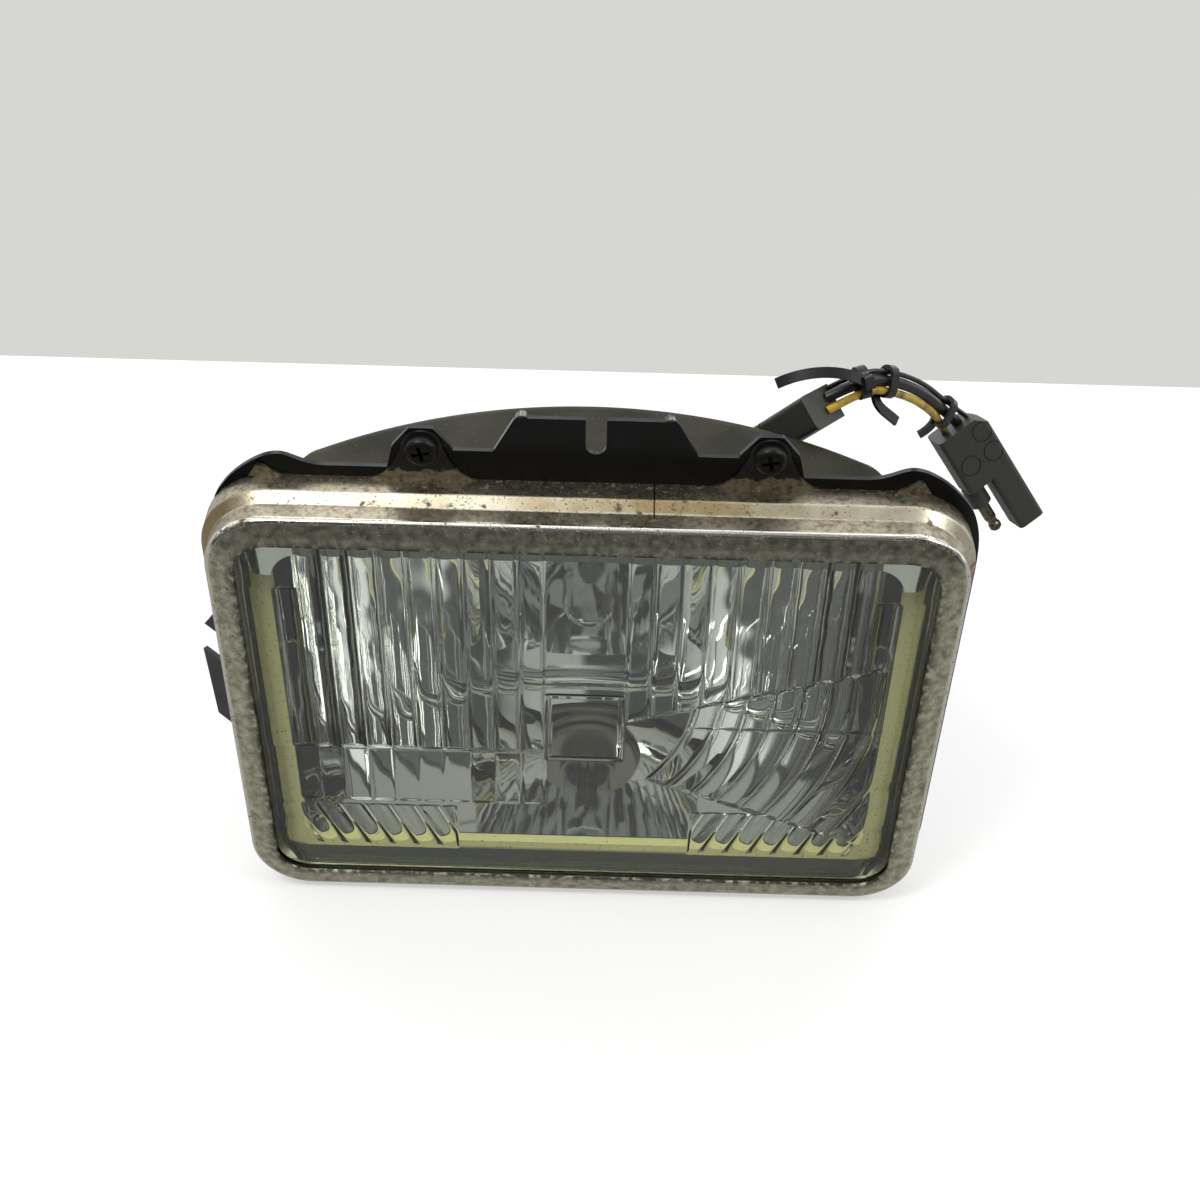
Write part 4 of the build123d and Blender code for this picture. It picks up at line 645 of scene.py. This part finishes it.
def tarnished_tin():
    """Tinned brass, stamped and tarnished: grey-brown in patches, with a dull metal gleam."""
    material, tree, shader = new_material("tarnished tinned brass", "#77725f", 0.38, 1.0)
    tarnish = blend_colours(tree, speckle(tree, 1.2, 0.4, 0.7), "#8d8771", "#5c5645")
    feed(tree, tarnish, shader.inputs["Base Color"])
    return material


def clear_quartz():
    """Quartz drawn into a tube: colourless, so that only its edges show."""
    return new_material("drawn clear quartz", "#ffffff", 0.0, Transmission_Weight=1.0, IOR=1.46)[0]


def bare_metal(name, colour, roughness, metallic=1.0):
    """Plain metal that is small or hidden: only its colour and the width of its highlight show."""
    return new_material(name, colour, roughness, metallic)[0]


def paint_nodes(sealant):
    """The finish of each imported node, apart from the reflector and the nodes that pieces replace."""
    connector = moulded_plastic("moulded nylon, dusty grey-black", "#34342f", 0.5)
    # a thin plated skin, dull grey, on the nuts and the bulb's holder
    zinc = bare_metal("dull zinc plate", "#8b877c", 0.4)
    finishes = {
        "lens_seal": sealant,
        "bezel_ring": stained_steel(),
        "mounting_frame": black_enamel(),
        # phosphate turns the screws nearly black and leaves a faint metal sheen
        "ring_screws": bare_metal("black phosphated steel", "#1a1917", 0.4, 0.6),
        "sheet_nuts": zinc,
        "bulb_holder": zinc,
        # drawn wire and bright sheet, which catch more light than the plate round them
        "bulb_clip": bare_metal("drawn spring steel wire", "#9a978e", 0.3),
        "bulb_base": bare_metal("stamped tinned steel", "#a7a49b", 0.28),
        "bulb_glass": clear_quartz(),
        # heat has left the coils and the sheet under them dark grey and nearly matt
        "filaments": bare_metal("coiled tungsten wire", "#5c5953", 0.5),
        "filament_shield": bare_metal("stamped molybdenum sheet", "#7f7c74", 0.4),
        # unglazed: warm white and matt
        "bulb_insulator": new_material("fired steatite", "#c9c2ae", 0.6)[0],
        # brass shows yellowish through the thin tin
        "bulb_terminals": bare_metal("stamped tinned brass", "#a8956a", 0.35),
        "bulb_plug": moulded_plastic("moulded black nylon", "#22211f", 0.5),
        "plug_boot": moulded_plastic("moulded black rubber", "#1c1b1a", 0.65),
        "connector_lower": connector,
        "connector_upper": connector,
        "bullet_pin": tarnished_tin(),
        "socket_contact": tarnished_tin(),
        "cable_ties": moulded_plastic("moulded black nylon strap", "#141413", 0.35),
    }
    for node, material in finishes.items():
        mesh = NODES[node].data
        mesh.materials.clear()
        mesh.materials.append(material)


# ---- Studio: white table, grey room, two soft lights and the camera ----
TABLE_SIDE = 1.2
TABLE_FRONT = 0.22              # the table's reach before and behind the ring's lip
TABLE_BACK = 0.299
TABLE_LEVEL = 1.1               # its plain brightness, seen directly and in metal or glass
MIRRORED_LEVEL = 0.4
SEEN_GLOW = 0.5                 # share of that plain brightness in what is seen directly, beside the shadow
MIRRORED_GLOW = 0.85            # and in what metal or glass shows
ROOM_DARK = 0.1                 # the room low down in front, and high up behind
ROOM_BRIGHT = 1.65
ROOM_MIDDLE = 0.26              # share of the way between the two, level and to the side
ROOM_UP = 0.5                   # what is added to that share straight up, and straight back
ROOM_BACK = 0.55
PATCH_SCALE = 4.0
PATCH_EDGE = (0.475, 0.525)     # noise values over which a patch goes from dark to bright
PATCH_DARK = 0.2
PATCH_BRIGHT = 1.9
ONLOOKER_WAY = (0.0, -0.72, 0.69)
ONLOOKER_EDGE = (0.9, 0.95)     # cosines of the angle from that way over which the room dims
ONLOOKER_LEVEL = 0.6
LIGHT_TARGET = (0, 0.02, 0.08)
CAMERA_PLACE = (5.5, -355.8, 445.9)     # in millimetres, as at() takes it


def white_table():
    """Matt white paint, seen at a plain brightness with the object's shadow, and dimmer where mirrored."""
    material, tree, shader = new_material("matt white paint", "#f4f4f2", 0.9)
    ray = add_node(tree, "LightPath")
    mirrored = ray.outputs["Is Glossy Ray"]
    level = add_node(tree, "MapRange", {"Value": mirrored, "To Min": TABLE_LEVEL, "To Max": MIRRORED_LEVEL})
    glow = add_node(tree, "Emission", {"Color": linear("#f4f4f2"), "Strength": level})
    seen = either(tree, ray.outputs["Is Camera Ray"], ray.outputs["Is Transmission Ray"])
    seen = either(tree, both(tree, seen, SEEN_GLOW), both(tree, mirrored, MIRRORED_GLOW))
    mix = add_node(tree, "MixShader", (seen, shader, glow))
    feed(tree, mix, tree.nodes["Material Output"].inputs["Surface"])
    return material


def build_stage():
    """A white table that ends behind the lamp, where the grey of the room begins."""
    start = RING_LIP - TABLE_FRONT
    end = RING_LIP + TABLE_BACK
    corners = [(-TABLE_SIDE, start, 0), (TABLE_SIDE, start, 0), (TABLE_SIDE, end, 0), (-TABLE_SIDE, end, 0)]
    mesh = bpy.data.meshes.new("table")
    mesh.from_pydata(corners, [], [(0, 1, 2, 3)])
    mesh.materials.append(white_table())
    table = bpy.data.objects.new("table", mesh)
    bpy.context.collection.objects.link(table)


def add_area_light(name, place, size, power):
    """A soft square light that faces the lamp."""
    light = bpy.data.lights.new(name, "AREA")
    light.size = size
    light.energy = power
    lamp = bpy.data.objects.new(name, light)
    lamp.location = place
    lamp.rotation_euler = (Vector(LIGHT_TARGET) - Vector(place)).to_track_quat("-Z", "Y").to_euler()
    bpy.context.collection.objects.link(lamp)


def build_light():
    """A room bright above and behind, in hard patches, dimmer towards an onlooker, and two soft lights."""
    world = bpy.data.worlds.new("room")
    world.use_nodes = True
    bpy.context.scene.world = world
    tree = world.node_tree
    way = add_node(tree, "TexCoord").outputs["Generated"]
    part = add_node(tree, "SeparateXYZ", (way,))
    share = add_node(tree, "Math", (part.outputs["Z"], ROOM_UP, ROOM_MIDDLE), operation="MULTIPLY_ADD")
    share = add_node(tree, "Math", (part.outputs["Y"], ROOM_BACK, share), operation="MULTIPLY_ADD")
    level = add_node(tree, "MapRange", {"Value": share, "To Min": ROOM_DARK, "To Max": ROOM_BRIGHT})
    patches = add_node(tree, "TexNoise", {"Vector": way, "Scale": PATCH_SCALE, "Detail": 1.0})
    patches = add_node(tree, "MapRange", {
        "Value": patches.outputs["Fac"], "From Min": PATCH_EDGE[0], "From Max": PATCH_EDGE[1],
        "To Min": PATCH_DARK, "To Max": PATCH_BRIGHT})
    facing = add_node(tree, "VectorMath", (way, ONLOOKER_WAY), operation="DOT_PRODUCT")
    onlooker = add_node(tree, "MapRange", {
        "Value": facing.outputs["Value"], "From Min": ONLOOKER_EDGE[0], "From Max": ONLOOKER_EDGE[1],
        "To Min": 1.0, "To Max": ONLOOKER_LEVEL})
    patchy = add_node(tree, "Math", (patches, onlooker), operation="MULTIPLY")
    strength = add_node(tree, "Math", (level, patchy), operation="MULTIPLY")
    # straight to the camera, the room is a plain grey
    ray = add_node(tree, "LightPath").outputs["Is Camera Ray"]
    background = tree.nodes["Background"]
    feed(tree, add_node(tree, "Mix", {0: ray, 2: strength, 3: 1.0}), background.inputs["Strength"])
    feed(tree, blend_colours(tree, ray, "#fbfcff", "#d6d7d2"), background.inputs["Color"])
    add_area_light("key", (-0.5, -0.5, 1.3), 0.35, 8.0)
    add_area_light("fill", (0.9, -0.3, 1.0), 0.3, 4.5)


def build_camera():
    """Camera above and in front of the lamp, looking down at it."""
    pitch = math.radians(41.69)
    yaw = math.radians(-0.30)
    roll = math.radians(1.376)
    aim = Vector((math.sin(yaw) * math.cos(pitch), math.cos(yaw) * math.cos(pitch), -math.sin(pitch)))
    right = Vector((math.cos(yaw), -math.sin(yaw), 0))
    up = right.cross(aim)
    rolled_right = right * math.cos(roll) + up * math.sin(roll)
    rolled_up = up * math.cos(roll) - right * math.sin(roll)
    lens = bpy.data.cameras.new("camera")
    lens.sensor_width = 36.0
    lens.lens = 52.48
    lens.clip_start = 0.01
    camera = bpy.data.objects.new("camera", lens)
    columns = Matrix((rolled_right, rolled_up, -aim)).transposed()
    camera.matrix_world = Matrix.Translation(at(*CAMERA_PLACE)) @ columns.to_4x4()
    bpy.context.collection.objects.link(camera)
    bpy.context.scene.camera = camera


sealant = butyl_bead()
pressing_paint = stove_paint()
paint_nodes(sealant)
paint_reflector(pressing_paint, vapour_mirror(), sealant)
build_bowl_rim(pressing_paint)
build_lens()
build_cords()
build_stage()
build_light()
build_camera()
bpy.context.scene.view_settings.view_transform = "Standard"
